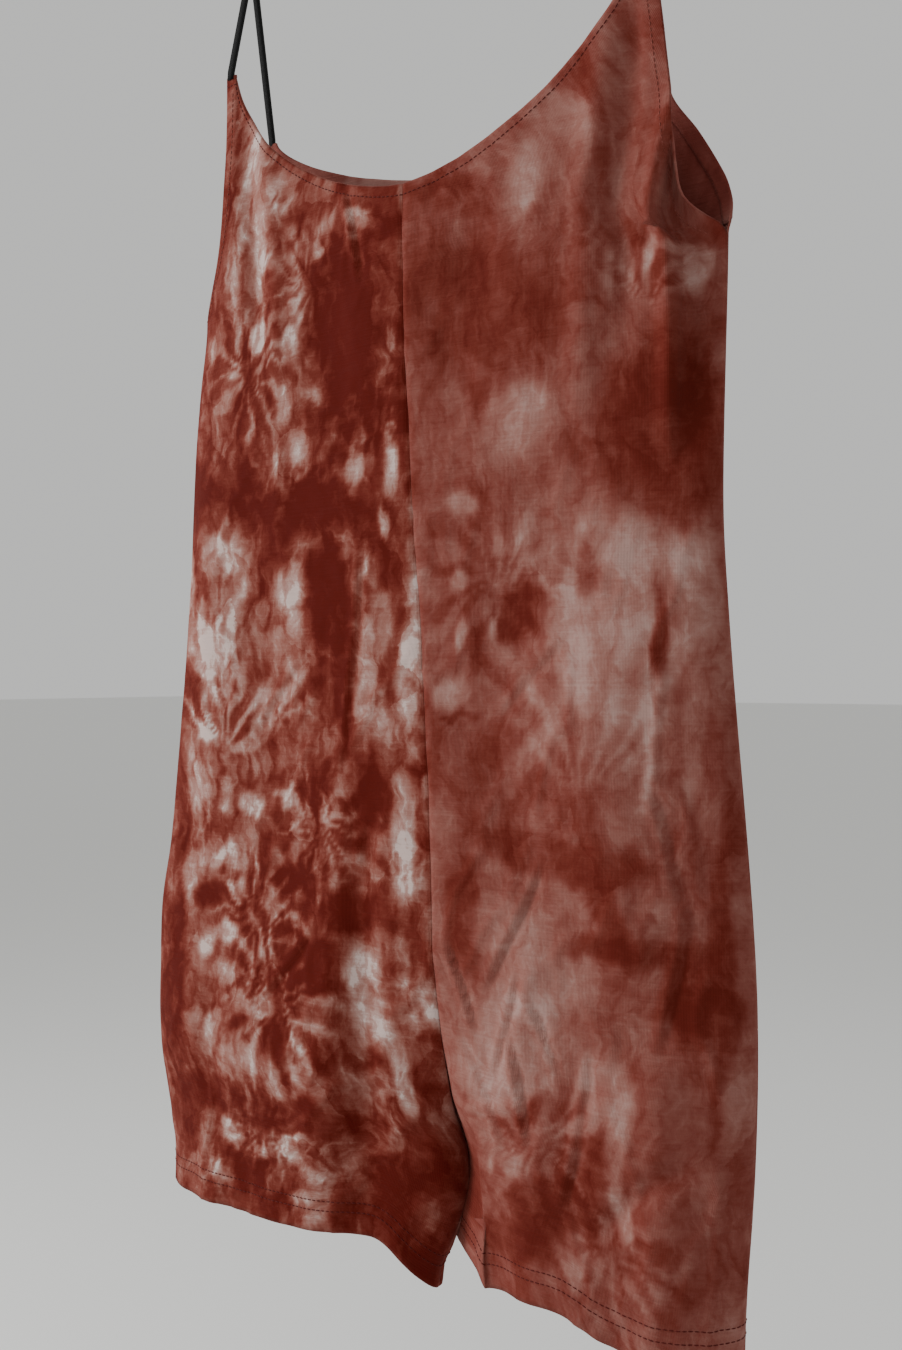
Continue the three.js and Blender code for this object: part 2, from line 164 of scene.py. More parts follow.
def skin(side, face, t, level):
    """Points of the cloth. t runs from 0 at the centre seam or inseam to 1 at the side."""
    pinch, depth, inner, outer = section(side, level)
    s = (1 - np.cos(np.pi * t)) / 2
    shape = np.sqrt(np.maximum(0, (1 - s) * ((1 - pinch) * (1 + s) + 4 * pinch * s)))
    drop = INNER_CORNER_DROP * (1 - s) * descent(level, CROTCH + PINCH_HEIGHT, HEM)
    return np.stack([mix(inner, outer, s), face * (CLEARANCE / 2 + depth * shape), level - drop], -1)


def level_row(side, face, level, shares):
    """A row of cloth at one height, at shares of its length from the centre to the side."""
    t = np.linspace(0, 1, 241)
    points = skin(side, face, t, np.full_like(t, level))
    run = distances(points)
    at = np.interp(shares * run[-1], run, t)
    return skin(side, face, at, np.full_like(at, level)), run[-1]


def cloth_over(side, face, x, z):
    """The cloth's points over places given by |x| and z, above the underarm."""
    pinch, depth, inner, outer = section(side, z)
    s = np.clip((side * x - inner) / (outer - inner), 0, 1)
    return skin(side, face, np.arccos(1 - 2 * s) / np.pi, z)


def neck_edge(cut, shares):
    """The top edge of a panel from the centre up to the strap point and across it, as |x| and z."""
    angle = np.linspace(0, np.pi / 2, 301)
    reach = cut["strap_x"] - EDGE_TURN / 2
    x = reach * np.sin(angle) ** (2 / cut["neck_curve"])
    z = cut["top"] - cut["neck"] * np.cos(angle) ** (2 / cut["neck_curve"])
    x, z = np.append(x, reach + EDGE_TURN), np.append(z, cut["top"])
    run = np.concatenate([[0], np.cumsum(np.hypot(np.diff(x), np.diff(z)))])
    return np.interp(shares * run[-1], run, x), np.interp(shares * run[-1], run, z)


def panel_grid(side, cut):
    """A panel's points as rows from hem to top, with each point's distance from the panel's edges."""
    face = cut["face"]
    shares = np.linspace(0, 1, int(round(ROW_LENGTHS[side] / GRID)) + 1)
    near, far = shares[1] * 0.3, shares[1] * 0.65     # two more columns beside each edge
    shares = np.concatenate([[0, near, far], shares[1:-1], [1 - far, 1 - near, 1]])
    levels = np.linspace(HEM, UNDERARM, int(round((UNDERARM - HEM) / GRID)) + 1)
    rows, lengths = zip(*(level_row(side, face, level, shares) for level in levels))
    rows, lengths = list(rows), list(lengths)
    bust = rows[-1]
    low_x, low_z = side * bust[:, 0], bust[:, 2]
    top_x, top_z = neck_edge(cut, shares)
    steps = int(round(ARM_HEIGHT / GRID))
    for step in range(1, steps + 1):
        w = step / steps
        drop = (1 - w) ** cut["arm_curve"]
        bow = mix(top_x[-1], low_x[-1], drop) - mix(low_x[-1], top_x[-1], w)
        x = mix(low_x, top_x, w) + np.minimum(1, shares / 0.94) ** 2 * bow
        z = mix(low_z, top_z, w)
        points = cloth_over(side, face, x, z)
        rows.append(points)
        lengths.append(np.linalg.norm(np.diff(points, axis=0), axis=1).sum())
    points = np.array(rows)
    across = np.outer(lengths, shares)
    return points, across, np.array(lengths)[:, None] - across, len(levels) - 1


def outward(points, side, face):
    """The direction out of the cloth at each point of a panel's grid."""
    return unit(np.cross(np.gradient(points, axis=1), np.gradient(points, axis=0)) * (-side * face))


# ---------------------------------------------------------------- folds and creases
SHARP_CREASE = 6.0         # folds narrower than this (mm) have one steep side, like a pressed crease
# Each fold: (x, z) where it starts and ends, half width, height (mm); + stands out, - falls in.
FOLDS = {
    "front": (
        ((118, -95), (112, -330), 9, 2.6), ((134, -90), (136, -300), 7, -2.4),
        ((-128, -85), (-122, -250), 8, -2.2), ((-112, -105), (-100, -280), 9, 2.0),
        ((60, -190), (20, -330), 22, -2.0), ((-60, -200), (-20, -350), 24, -1.8),
        ((-150, -300), (-165, -470), 22, 2.4), ((-95, -380), (-110, -640), 30, -2.6),
        ((120, -400), (150, -640), 26, 3.0), ((75, -380), (62, -600), 22, -2.4),
        ((-30, -500), (-28, -790), 12, -3.0), ((-55, -560), (-62, -780), 16, 2.6),
        ((31, -598), (50, -652), 2.6, 2.0), ((72, -640), (84, -712), 2.8, 2.0),
        ((80, -606), (58, -676), 2.8, 1.7), ((84, -622), (104, -668), 2.6, 1.6),
        ((36, -648), (72, -716), 2.8, 1.4), ((122, -640), (102, -745), 3.2, 1.5),
        ((94, -548), (52, -630), 3.0, 1.6), ((34, -692), (86, -678), 2.6, 1.5),
        ((45, -704), (96, -726), 2.8, 1.4), ((176, -690), (120, -745), 7, -2.4),
        ((190, -690), (186, -785), 3.4, 1.8), ((-60, -600), (-110, -655), 3.0, 1.4),
        ((-120, -486), (-76, -440), 3.0, -1.3), ((-150, -505), (-176, -436), 3.0, -1.3),
        ((-30, -370), (-46, -520), 3.2, 1.4), ((60, -474), (108, -428), 3.0, -1.1),
        ((-44, -160), (-32, -226), 3.2, 1.8), ((-10, -112), (-54, -172), 3.2, 1.5),
        ((152, -505), (170, -580), 3.2, 1.4), ((174, -560), (156, -650), 3.2, 1.4),
        ((88, -590), (66, -705), 9, 1.8), ((150, -640), (168, -780), 14, 2.6),
        ((112, -640), (105, -780), 14, -2.2), ((-160, -640), (-150, -785), 16, -2.4),
    ),
    "back": (
        ((120, -130), (105, -340), 12, 2.6), ((-120, -130), (-104, -350), 12, 2.6),
        ((138, -120), (150, -300), 9, -2.4), ((-138, -120), (-150, -300), 9, -2.4),
        ((50, -200), (36, -480), 26, -2.6), ((-46, -200), (-30, -500), 26, -2.4),
        ((-110, -380), (-126, -640), 28, 3.0), ((110, -390), (120, -660), 26, 2.8),
        ((60, -560), (80, -780), 18, -2.6), ((-70, -560), (-86, -780), 18, -2.6),
        ((150, -560), (160, -780), 15, 2.4), ((-150, -560), (-168, -780), 15, 2.2),
    ),
}


def fold_height(face_name, x, z):
    """How far the cloth stands out from its plain shape at each place, in metres."""
    height = np.zeros_like(x)
    for start, end, width, rise in FOLDS[face_name]:
        ax, az, bx, bz = (v * MM for v in (*start, *end))
        dx, dz = bx - ax, bz - az
        along = ((x - ax) * dx + (z - az) * dz) / (dx * dx + dz * dz)
        bend = 0.35 * width * MM * ripple(along * 2.5, along * 0 + width, 11)
        off = ((x - ax) * dz - (z - az) * dx) / math.hypot(dx, dz) + bend
        ends = smooth(along / 0.22 + 0.1) * smooth((1 - along) / 0.3 + 0.05)
        across = off / (width * MM)
        lift = 1.6 * across if width < SHARP_CREASE else 1.3
        height += lift * rise * MM * np.exp(-(across ** 2)) * ends
    seed = 40 if face_name == "front" else 70
    wide = cloudy(x / 0.075, z / 0.2, seed, 2) * 1.6 * MM
    fine = cloudy(x / 0.03 + z / 0.09, z / 0.06, seed + 9, 3) * 0.75 * MM
    crease = 1 - np.abs(cloudy(x / 0.042 - z / 0.12, z / 0.07 + x / 0.1, seed + 20, 3))
    crumple = np.maximum(0, crease - 0.76) * 4.2 * MM * (0.4 + 0.6 * descent(z, -0.30, -0.5))
    return height + wide + fine + crumple


# How far the sides hang in or out of the plain shape: height, then the shift to the wearer's left (mm).
SIDE_SHIFT = {
    "right": ((-130, 0), (-195, 6), (-225, 8), (-265, 2), (-310, -3), (-400, -7), (-470, -3), (-505, 0),
              (-560, 3), (-600, -1), (-640, -2), (-690, -3), (-760, 8), (-790, 8)),
    "left": ((-200, 0), (-350, -3), (-420, -2), (-560, -3), (-700, -1), (-790, -4)),
}
# How far the left armhole's edge hangs out or in: height, then the shift (mm).
ARM_SHIFT = {
    "front": ((-70, 0), (-105, 8), (-150, 8), (-170, 3), (-190, -5), (-205, -11), (-214, -9), (-228, 0)),
    "back": ((-103, 0), (-140, 0), (-165, 9), (-190, 12), (-205, 9), (-226, 0)),
}
# How far the leg hems hang below the plain shape: share of the way to the side, then the drop (mm).
HEM_DROP = {
    "right": ((0, 8), (0.06, 0), (0.14, -15), (0.2, -19), (0.45, -13), (0.8, -7), (1, -3)),
    "left": ((0, -22), (0.05, -16), (0.11, -10), (0.25, -10.5), (0.45, -9), (0.6, 2), (0.75, 7), (1, 9)),
}
# How the legs' inner edges hang: height, then the shift to the wearer's left (mm).
INNER_SHIFT = {
    "right": ((-695, 0), (-738, 10), (-775, 1), (-790, -4)),
    "left": ((-695, 0), (-740, -8), (-790, -24)),
    "left_fold": ((-690, 0), (-722, 13), (-745, 17), (-775, 11), (-790, 9)),
}


def along_list(pairs, at):
    """Reads a list of pairs as a smooth curve that passes through each of them."""
    keys, values = (np.array(column, float) for column in zip(*sorted(pairs)))
    slopes = np.zeros_like(values)
    slopes[1:-1] = (values[2:] - values[:-2]) / (keys[2:] - keys[:-2])
    at = np.clip(at, keys[0], keys[-1])
    low = np.clip(np.searchsorted(keys, at, side="right") - 1, 0, len(keys) - 2)
    span = keys[low + 1] - keys[low]
    t = (at - keys[low]) / span
    rise = smooth(t)
    start, finish = t * (1 - t) ** 2 * span, t * t * (t - 1) * span
    return values[low] * (1 - rise) + values[low + 1] * rise + slopes[low] * start + slopes[low + 1] * finish


def armhole_fold(x, z, inset):
    """The fold down beside the front's left armhole: a ridge, then cloth that falls in behind it."""
    top = smooth((z / MM + 350) / 60) * smooth((-120 - z / MM) / 50)
    line = x / MM - mix(158, 163, smooth((-165 - z / MM) / 120))
    ridge = 4.5 * np.exp(-((line + 3) / 6) ** 2)
    hollow = 9 * smooth((line + 1) / 4) * smooth(inset / (5 * MM)) * (1 - 0.5 * smooth((line - 6) / 16))
    return top * MM * (ridge - hollow)


def hang(side_name, face_name, points, across, inset):
    """Lays the folds into a panel's plain shape and lets its sides and hem hang as they do."""
    side, face = SIDES[side_name], CUTS[face_name]["face"]
    left_front = side > 0 and face < 0
    x, z = points[..., 0], points[..., 2]
    pinch = descent(z, CROTCH + PINCH_HEIGHT, CROTCH)
    share = across / (across + inset)
    low = descent(z, CROTCH + 30 * MM, HEM - 6 * MM)
    at_centre, at_side = (np.exp(-(distance / (2 * MM)) ** 2) for distance in (across, inset))

    # Folds die out towards the sewn edges.
    calm = smooth(inset / (20 * MM)) * mix(1, smooth(across / (14 * MM)), pinch)
    height = fold_height(face_name, x, z) * calm
    if left_front:
        height += armhole_fold(x, z, inset)
    # The centre seam lies in a small groove, and each seam closes.
    height -= 0.7 * MM * np.exp(-(across / (1.6 * MM)) ** 2)
    hung = points + outward(points, side, face) * height[..., None]
    hung[..., 1] -= face * SEAM_PULL * (at_side + pinch * at_centre)
    hung[..., 0] -= side * SEAM_PULL * (1 - pinch) * at_centre
    # The side, and on the left the armhole's edge, hang out and in.
    hung[..., 0] += along_list(SIDE_SHIFT[side_name], z / MM) * MM * share ** 2
    if side > 0:
        hung[..., 0] += along_list(ARM_SHIFT[face_name], z / MM) * MM * share ** 3
    if left_front:
        hung[..., 2] -= 9 * MM * (smooth((share - 0.78) / 0.1) * smooth((1 - share) / 0.05)
                                  * np.exp(-((z / MM + 210) / 22) ** 2))
    # The hem drops unevenly, and the inner edges of the legs swing.
    hung[..., 2] -= along_list(HEM_DROP[side_name], share) * MM * low
    tucked = along_list(INNER_SHIFT[side_name], z / MM) * MM
    hung[..., 0] += tucked * (1 - smooth(share / (0.07 if side > 0 else 0.25)))
    if side > 0:
        hung[..., 1] += 14 * MM * descent(z, -690 * MM, -740 * MM) * (1 - smooth(share / 0.08))
    if left_front:
        bell = np.exp(-((share - 0.09) / 0.05) ** 2)
        hung[..., 0] += along_list(INNER_SHIFT["left_fold"], z / MM) * MM * bell
        hung[..., 1] -= 5 * MM * low * bell
    # Low down the cloth waves in and out.
    sway = 1.6 * MM * np.sin(share * 15 + face) + 1.0 * MM * np.sin(share * 31 + 2 + face)
    hung[..., 1] += sway * low * smooth(across / (15 * MM)) * smooth(inset / (20 * MM))
    return hung


# ---------------------------------------------------------------- the dye, with a few marks of painted shade and painted light
# Each stain: x, z, half width, half height (mm), turn (degrees), strength; + darker, - paler. A few of them
# are painted shade and painted light, each marked where it stands.
STAINS_AND_PAINTED_LIGHT = {
    "front_right": (
        (-125, -465, 80, 80, 0, -.15), (-110, -200, 50, 90, 0, -.12), (-120, -590, 75, 60, 0, -.1),
        (-90, -690, 100, 45, 0, -.1), (-20, -600, 40, 120, 0, -.08), (-30, -250, 60, 90, 0, .1),
        (-126, -140, 26, 80, 0, -.2), (-165, -425, 26, 45, 0, -.2), (-135, -425, 24, 48, -8, -.16),
        (-90, -430, 24, 26, 0, -.14), (-110, -665, 60, 24, 0, -.08), (-137, -105, 12, 40, 0, -.34),
        (-112, -150, 20, 24, 20, -.26), (-129, -190, 6, 34, 0, .16), (-141, -195, 5, 30, 0, -.26),
        (-113, -202, 6, 28, 0, -.26), (-82, -190, 10, 18, 15, -.3), (-56, -186, 7, 17, -18, -.5),
        (-30, -181, 12, 6, -35, -.34), (-40, -240, 36, 42, 0, .42), (-35, -285, 34, 22, 0, .26),
        (-136, -240, 6, 13, 10, -.5), (-117, -239, 7, 13, -18, -.5), (-162, -236, 13, 11, 30, -.28),
        (-126, -262, 7, 24, 0, .24), (-88, -250, 9, 11, 0, -.4), (-70, -258, 12, 8, -30, -.3),
        (-94, -284, 12, 14, 0, -.34), (-66, -282, 14, 5, -30, -.32), (-5, -257, 4, 8, 0, -.55),
        (1, -192, 4, 18, 8, -.4), (3, -216, 2.5, 9, 12, -.34), (-102, -305, 18, 20, 0, -.24),
        (-74, -310, 13, 18, -25, -.28), (-38, -326, 6.5, 25, -8, -.6), (-11, -325, 6, 24, 4, -.4),
        (9, -336, 5, 31, -4, -.42), (-14, -360, 4.5, 13, 18, -.5), (-186, -335, 24, 24, 0, .4),
        (-120, -334, 20, 30, 12, .36), (-92, -352, 44, 16, 0, .42), (-48, -352, 34, 14, 0, .4),
        (-148, -378, 25, 14, 10, -.5), (-186, -402, 11, 38, 0, -.42), (-88, -396, 17, 14, 0, -.42),
        (-21, -387, 8, 8, 0, -.44), (-62, -396, 17, 34, 0, .36), (-44, -440, 9, 62, 4, .55),
        (-20, -428, 11, 32, -8, -.48), (8, -440, 10, 60, -2, -.42), (-19, -470, 12, 22, 0, -.28),
        (-162, -432, 8, 34, 8, -.5), (-136, -428, 7, 38, -14, -.6), (-100, -468, 32, 8, 38, -.55),
        (-118, -489, 30, 6, 22, -.45), (-168, -488, 9, 6, -20, -.45), (-72, -462, 22, 5, 34, .2),
        (-146, -528, 7, 13, 10, -.42), (-125, -532, 11, 8, 25, -.5), (-95, -520, 13, 4, -8, -.44),
        (-181, -520, 9, 24, 8, -.32), (-50, -526, 8, 28, -16, -.36), (-26, -522, 12, 30, 6, .44),
        (2, -545, 9, 46, 0, -.34), (-178, -568, 14, 32, 0, -.34), (-131, -586, 10, 9, 0, -.52),
        (-103, -588, 9, 9, 0, -.52), (-119, -574, 3.5, 8, 0, -.4), (-150, -568, 13, 7, 30, -.4),
        (-160, -592, 16, 9, 20, .34), (-76, -582, 22, 17, 0, .4), (-36, -592, 20, 13, 0, .4),
        (-55, -622, 15, 20, 0, .44), (4, -566, 7, 9, 0, -.44), (-132, -617, 18, 6, -32, -.45),
        (-100, -616, 12, 10, 20, -.4), (-160, -624, 11, 6, 30, -.3), (-26, -632, 12, 20, 12, -.5),
        (0, -612, 7, 20, 0, -.36), (18, -640, 7, 15, 8, -.5), (-196, -650, 16, 62, 0, .4),
        (-157, -680, 8, 16, -22, -.52), (-134, -663, 34, 6, 14, -.42), (-122, -690, 24, 10, 0, -.3),
        (-72, -692, 20, 10, -12, -.42), (-5, -684, 6, 24, 0, -.5), (-20, -660, 14, 15, 0, -.32),
        (-95, -670, 12, 20, 25, .46), (-112, -719, 92, 13, 0, .36), (-143, -742, 10, 7, -35, -.46),
        (-117, -750, 10, 8, 0, -.36), (-87, -740, 13, 9, 25, -.44), (-118, -763, 28, 9, 8, .34),
        (-150, -776, 15, 7, 0, -.3), (-72, -773, 14, 6, 0, -.36), (0, -765, 24, 40, 0, .3),
        (-18, -722, 5, 14, 0, -.34), (-60, -756, 12, 6, 0, -.26),
    ),
    "front_left": (
        (130, -430, 75, 80, 0, -.1), (80, -640, 75, 80, 0, -.1), (100, -180, 60, 60, 0, -.06),
        # (27, -748) below is painted shade: it darkens the left leg's tucked-in inner edge, in the gap
        # between the legs.
        (110, -510, 60, 70, 0, -.05), (60, -240, 80, 55, 0, .1), (27, -748, 12, 42, 0, .5),
        (74, -182, 14, 27, -28, -.36), (100, -152, 26, 15, -30, -.2), (24, -177, 30, 7, 0, .24),
        (42, -250, 56, 42, 0, .14), (122, -165, 5, 60, 0, .16), (141, -110, 7, 38, 0, -.1),
        (128, -241, 4, 13, 0, -.3), (139, -240, 5, 15, 12, -.4), (150, -232, 3.5, 13, 0, -.5),
        (173, -241, 8, 15, 0, -.5), (163, -226, 8, 5, 0, -.34), (166, -322, 26, 60, 0, .4),
        (140, -320, 20, 46, 0, .22), (73, -312, 22, 22, 0, -.44), (84, -376, 13, 28, 8, -.36),
        (41, -360, 11, 7, -25, -.42), (76, -415, 17, 20, 0, .42), (38, -401, 7, 9, 0, -.3),
        (40, -430, 3.5, 12, 0, -.5), (32, -462, 12, 11, 0, -.46), (57, -421, 3, 8, 12, -.5),
        (38, -477, 13, 2.5, 6, .3), (124, -405, 36, 38, 0, -.3), (152, -386, 30, 18, 0, -.34),
        (132, -446, 42, 38, 0, -.32), (176, -404, 12, 48, 0, -.34), (105, -406, 5, 10, 0, -.3),
        (115, -436, 6, 9, 0, -.36), (156, -432, 5.5, 26, 4, .62), (117, -400, 7, 17, 10, .36),
        (151, -482, 3.5, 44, 0, -.36), (176, -482, 7, 40, 0, -.26), (86, -488, 42, 7, 52, -.2),
        (60, -505, 50, 28, 0, .12), (98, -546, 62, 12, -8, .36), (131, -572, 10, 26, 22, .36),
        (150, -592, 48, 9, 0, .38), (180, -612, 22, 22, 0, .44), (41, -577, 13, 34, 0, .26),
        (191, -600, 7, 90, 0, .32), (84, -602, 28, 32, 0, -.24), (74, -650, 36, 34, 0, -.32),
        (54, -672, 18, 24, 20, -.42), (122, -604, 12, 28, 0, -.14), (130, -664, 18, 18, 0, -.34),
        (141, -686, 9, 19, 0, -.4), (95, -681, 14, 9, 20, .36), (110, -735, 34, 18, 12, .42),
        (82, -765, 36, 13, 0, .3), (130, -708, 14, 13, 0, .28), (148, -724, 6, 20, 8, -.54),
        (135, -736, 5, 10, 0, -.46), (110, -765, 7, 12, 30, -.42), (74, -715, 20, 10, 0, -.24),
    ),
    "back_right": (
        # (-60, -146) below is painted light: a paler strip along the back neck that lifts the shade inside
        # the neck opening.
        (-60, -146, 90, 12, 10, -.6), (-110, -180, 24, 30, 20, -.3), (-60, -220, 34, 30, 0, .3),
        (-150, -290, 18, 40, 0, -.36), (-90, -320, 30, 14, -20, -.4), (-40, -350, 24, 46, 0, .36),
        (-130, -400, 40, 20, 12, .34), (-160, -470, 12, 44, 0, -.42), (-90, -460, 22, 28, 20, -.4),
        (-30, -520, 14, 50, 0, -.34), (-110, -560, 46, 16, -10, .4), (-70, -610, 16, 20, 0, -.42),
        (-150, -640, 20, 30, 0, -.32), (-60, -690, 40, 16, 10, .36), (-130, -730, 20, 20, 0, -.36),
        (-40, -760, 20, 20, 0, .26),
    ),
    "back_left": (
        # (50, -146) below is the same painted light on the left: the paler strip along the back neck.
        (50, -146, 60, 10, -10, -.4), (160, -190, 26, 40, 0, .4), (100, -170, 26, 26, -20, -.34),
        (50, -230, 30, 34, 0, .2), (140, -260, 12, 40, 0, -.34), (80, -330, 34, 20, 14, -.3),
        (150, -380, 26, 40, 0, .34), (60, -430, 18, 40, 0, .3), (120, -470, 34, 30, 0, -.32),
        (50, -540, 24, 22, 0, -.36), (130, -570, 46, 14, 12, .38), (90, -640, 30, 30, 0, -.3),
        (160, -680, 14, 40, 0, .32), (80, -730, 36, 16, 0, .34),
    ),
}
# Each fan of petals: centre x, z, radius (mm), number of petals, from and to angle (degrees), strength.
FANS = {
    "front_right": (
        (-150, -497, 70, 15, 20, 160, .3), (-126, -262, 46, 12, 0, 360, .24),
        (-112, -600, 52, 14, 0, 360, .24), (-96, -648, 60, 15, 0, 360, .24),
        (-60, -545, 50, 12, 0, 360, .2), (-70, -215, 44, 12, 0, 360, .16), (-92, -350, 60, 14, 0, 180, .18),
        (-110, -735, 46, 14, 0, 360, .22), (-20, -300, 40, 10, 0, 360, .2),
    ),
    "front_left": (
        (150, -262, 44, 12, 30, 150, .2), (120, -520, 120, 18, 40, 140, .14),
        (96, -700, 60, 12, 0, 360, .16), (60, -400, 54, 12, 0, 360, .14), (140, -745, 46, 12, 0, 360, .16),
    ),
    "back_right": (
        (-100, -260, 60, 13, 0, 200, .2), (-60, -500, 80, 15, 40, 250, .22),
        (-130, -660, 60, 12, 0, 160, .2), (-150, -390, 50, 11, 200, 355, .2),
        (-40, -720, 60, 12, 20, 200, .18),
    ),
    "back_left": (
        (120, -300, 70, 13, 60, 200, .14), (60, -520, 80, 14, 20, 170, .14),
        (130, -700, 60, 12, 90, 260, .14),
    ),
}
GROUND = {"front_right": .62, "front_left": .57, "back_right": .6, "back_left": .56}


def dye_and_painted_light_depth(name, x, z, seed):
    """How deep the dye has taken at each place of a panel, with a painted shadow in the gap between the legs
    and a painted paler strip at the back neck: 0 nearly bare, 1 darkest.
    """
    brush = ripple(x / 0.0065, z / 0.06, seed + 7) + 0.6 * ripple(x / 0.012, z / 0.05, seed + 8)
    x, z = (x + cloudy(x / 0.03, z / 0.035, seed, 3) * 3 * MM,
            z + cloudy(x / 0.026, z / 0.04, seed + 5, 3) * 4 * MM + brush * 3.5 * MM)
    depth = GROUND[name] + 0.07 * cloudy(x / 0.04, z / 0.055, seed + 50, 4)
    for cx, cz, width, height, turn, strength in STAINS_AND_PAINTED_LIGHT[name]:
        angle = math.radians(turn)
        dx, dz = x - cx * MM, z - cz * MM
        u = (dx * math.cos(angle) + dz * math.sin(angle)) / (width * MM)
        v = (dz * math.cos(angle) - dx * math.sin(angle)) / (height * MM)
        depth += strength * smooth((1.25 - np.sqrt(u * u + v * v)) / 0.75)
    for cx, cz, radius, petals, start, end, strength in FANS[name]:
        dx, dz = x - cx * MM, z - cz * MM
        r, angle = np.hypot(dx, dz) / (radius * MM), np.arctan2(dz, dx)
        turn = np.degrees(angle) % 360
        within = smooth((turn - start + 12) / 24) * smooth((end + 12 - turn) / 24) if end < 360 else 1
        petal = np.cos(angle * petals + 2.6 * ripple(r * 3, angle * 2.5, seed + 31))
        ring = smooth(r / 0.25) * smooth((1.15 - r) / 0.5)
        depth -= 1.5 * strength * ring * within * (smooth(petal * 0.8 + 0.3) - 0.5)
    room = np.where(depth < 0.5, 0.42, 0.5)
    return 0.5 + room * np.tanh((depth - 0.5) / room)


# ---------------------------------------------------------------- meshes
def mesh_object(name, points, faces):
    mesh = bpy.data.meshes.new(name)
    mesh.from_pydata([tuple(p) for p in points], [], faces)
    mesh.update()
    piece = bpy.data.objects.new(name, mesh)
    scene.collection.objects.link(piece)
    return piece


def add_values(piece, name, values):
    piece.data.attributes.new(name, "FLOAT", "POINT").data.foreach_set("value", np.ravel(values))


def add_uv(piece, u, v):
    layer = piece.data.uv_layers.new(name="cloth")
    index = np.empty(len(piece.data.loops), dtype=np.int64)
    piece.data.loops.foreach_get("vertex_index", index)
    layer.data.foreach_set("uv", np.stack([np.ravel(u)[index], np.ravel(v)[index]], -1).ravel())


def grid_faces(rows, columns, flip=False):
    faces = []
    for r in range(rows - 1):
        for c in range(columns - 1):
            a = r * columns + c
            quad = (a, a + 1, a + columns + 1, a + columns)
            faces.append(quad[::-1] if flip else quad)
    return faces


def only(piece):
    bpy.ops.object.select_all(action="DESELECT")
    piece.select_set(True)
    bpy.context.view_layer.objects.active = piece


def face_outwards(piece, merge=None):
    """Turns a piece's faces outwards, with points that lie closer than merge joined first."""
    only(piece)
    bpy.ops.object.mode_set(mode="EDIT")
    bpy.ops.mesh.select_all(action="SELECT")
    if merge:
        bpy.ops.mesh.remove_doubles(threshold=merge)
    bpy.ops.mesh.normals_make_consistent(inside=False)
    bpy.ops.object.mode_set(mode="OBJECT")


def solidify(piece, thickness, **settings):
    """Gives a sheet its thickness, half to each side."""
    shell = piece.modifiers.new("layer", "SOLIDIFY")
    shell.thickness, shell.offset = thickness, 0
    for key, value in settings.items():
        setattr(shell, key, value)
    only(piece)
    bpy.ops.object.modifier_apply(modifier=shell.name)
    bpy.ops.object.shade_smooth()


panels = {}


def make_panel(face_name, side_name):
    side, face = SIDES[side_name], CUTS[face_name]["face"]
    name = f"{face_name}_{side_name}"
    points, across, inset, bust = panel_grid(side, CUTS[face_name])
    hung = hang(side_name, face_name, points, across, inset)
    rows, columns = across.shape
    up = np.concatenate([np.zeros((1, columns)),
                         np.cumsum(np.linalg.norm(np.diff(points, axis=0), axis=-1), axis=0)])
    u, v = SEAM_DRIFT * descent(points[..., 2], UNDERARM, HIP) + side * across, points[..., 2]
    dye_and_light = dye_and_painted_light_depth(name, u, v, 100 + 17 * list(STAINS_AND_PAINTED_LIGHT).index(name))
    u = u + (0 if face < 0 else 1)     # so that the back doesn't repeat the front's fine pattern
    flip = side * face > 0
    piece = mesh_object(f"{name}_jersey", hung.reshape(-1, 3), grid_faces(rows, columns, flip))
    add_values(piece, "dye_and_light", dye_and_light)
    add_uv(piece, u, v)
    panels[name] = dict(piece=piece, points=hung, normal=outward(hung, side, face), across=across,
                        inset=inset, bust=bust, up=up, below_top=up[-1] - up, u=u, v=v, dye_and_light=dye_and_light, flip=flip)
    piece.data.materials.append(rust_jersey if side < 0 else dusty_jersey)
    piece.data.materials.append(inside_jersey)
    solidify(piece, JERSEY, use_even_offset=True, material_offset=1)
    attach(piece, "garment")
    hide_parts(f"{face_name}_panel_{side_name}")


# ---------------------------------------------------------------- turned edges, hems, seams and stitching
# Distances in from an edge, and how deep inside the middle of the panel the trim lies there.
TURN_DEPTHS = np.append(np.array([0, 0, 1.2, 3, 5, 7]) * MM, EDGE_TURN)
TURN_LIFTS = np.array([-0.1, 0.7, 0.78, 0.78, 0.8, 0.8, 0.76]) * MM
HEM_DEPTHS = np.append(np.array([0, 0, 1.2, 4, 8, 12, 16, 20]) * MM, HEM_DEPTH)
HEM_LIFTS = np.array([-0.1, 0.7, 0.78, 0.78, 0.78, 0.78, 0.78, 0.78, 0.74]) * MM
SEAM_DEPTHS = np.append(np.array([0.4, 2, 3.5, 5]) * MM, SEAM_ALLOWANCE)
SEAM_LIFTS = np.array([0.75, 1.05, 1.1, 1.1, 1.0]) * MM


def read(panel, row, column):
    """A panel's point, outward normal, u, v and dye depth (with its painted shade and painted light) at
    fractional rows and columns.
    """
    rows, columns = panel["across"].shape
    r = np.clip(np.floor(row).astype(int), 0, rows - 2)
    c = np.clip(np.floor(column).astype(int), 0, columns - 2)
    found = []
    for field in ("points", "normal", "u", "v", "dye_and_light"):
        grid, down, over = panel[field], row - r, column - c
        if grid.ndim == 3:
            down, over = down[..., None], over[..., None]
        found.append(mix(mix(grid[r, c], grid[r, c + 1], over),
                         mix(grid[r + 1, c], grid[r + 1, c + 1], over), down))
    found[1] = unit(found[1])
    return found


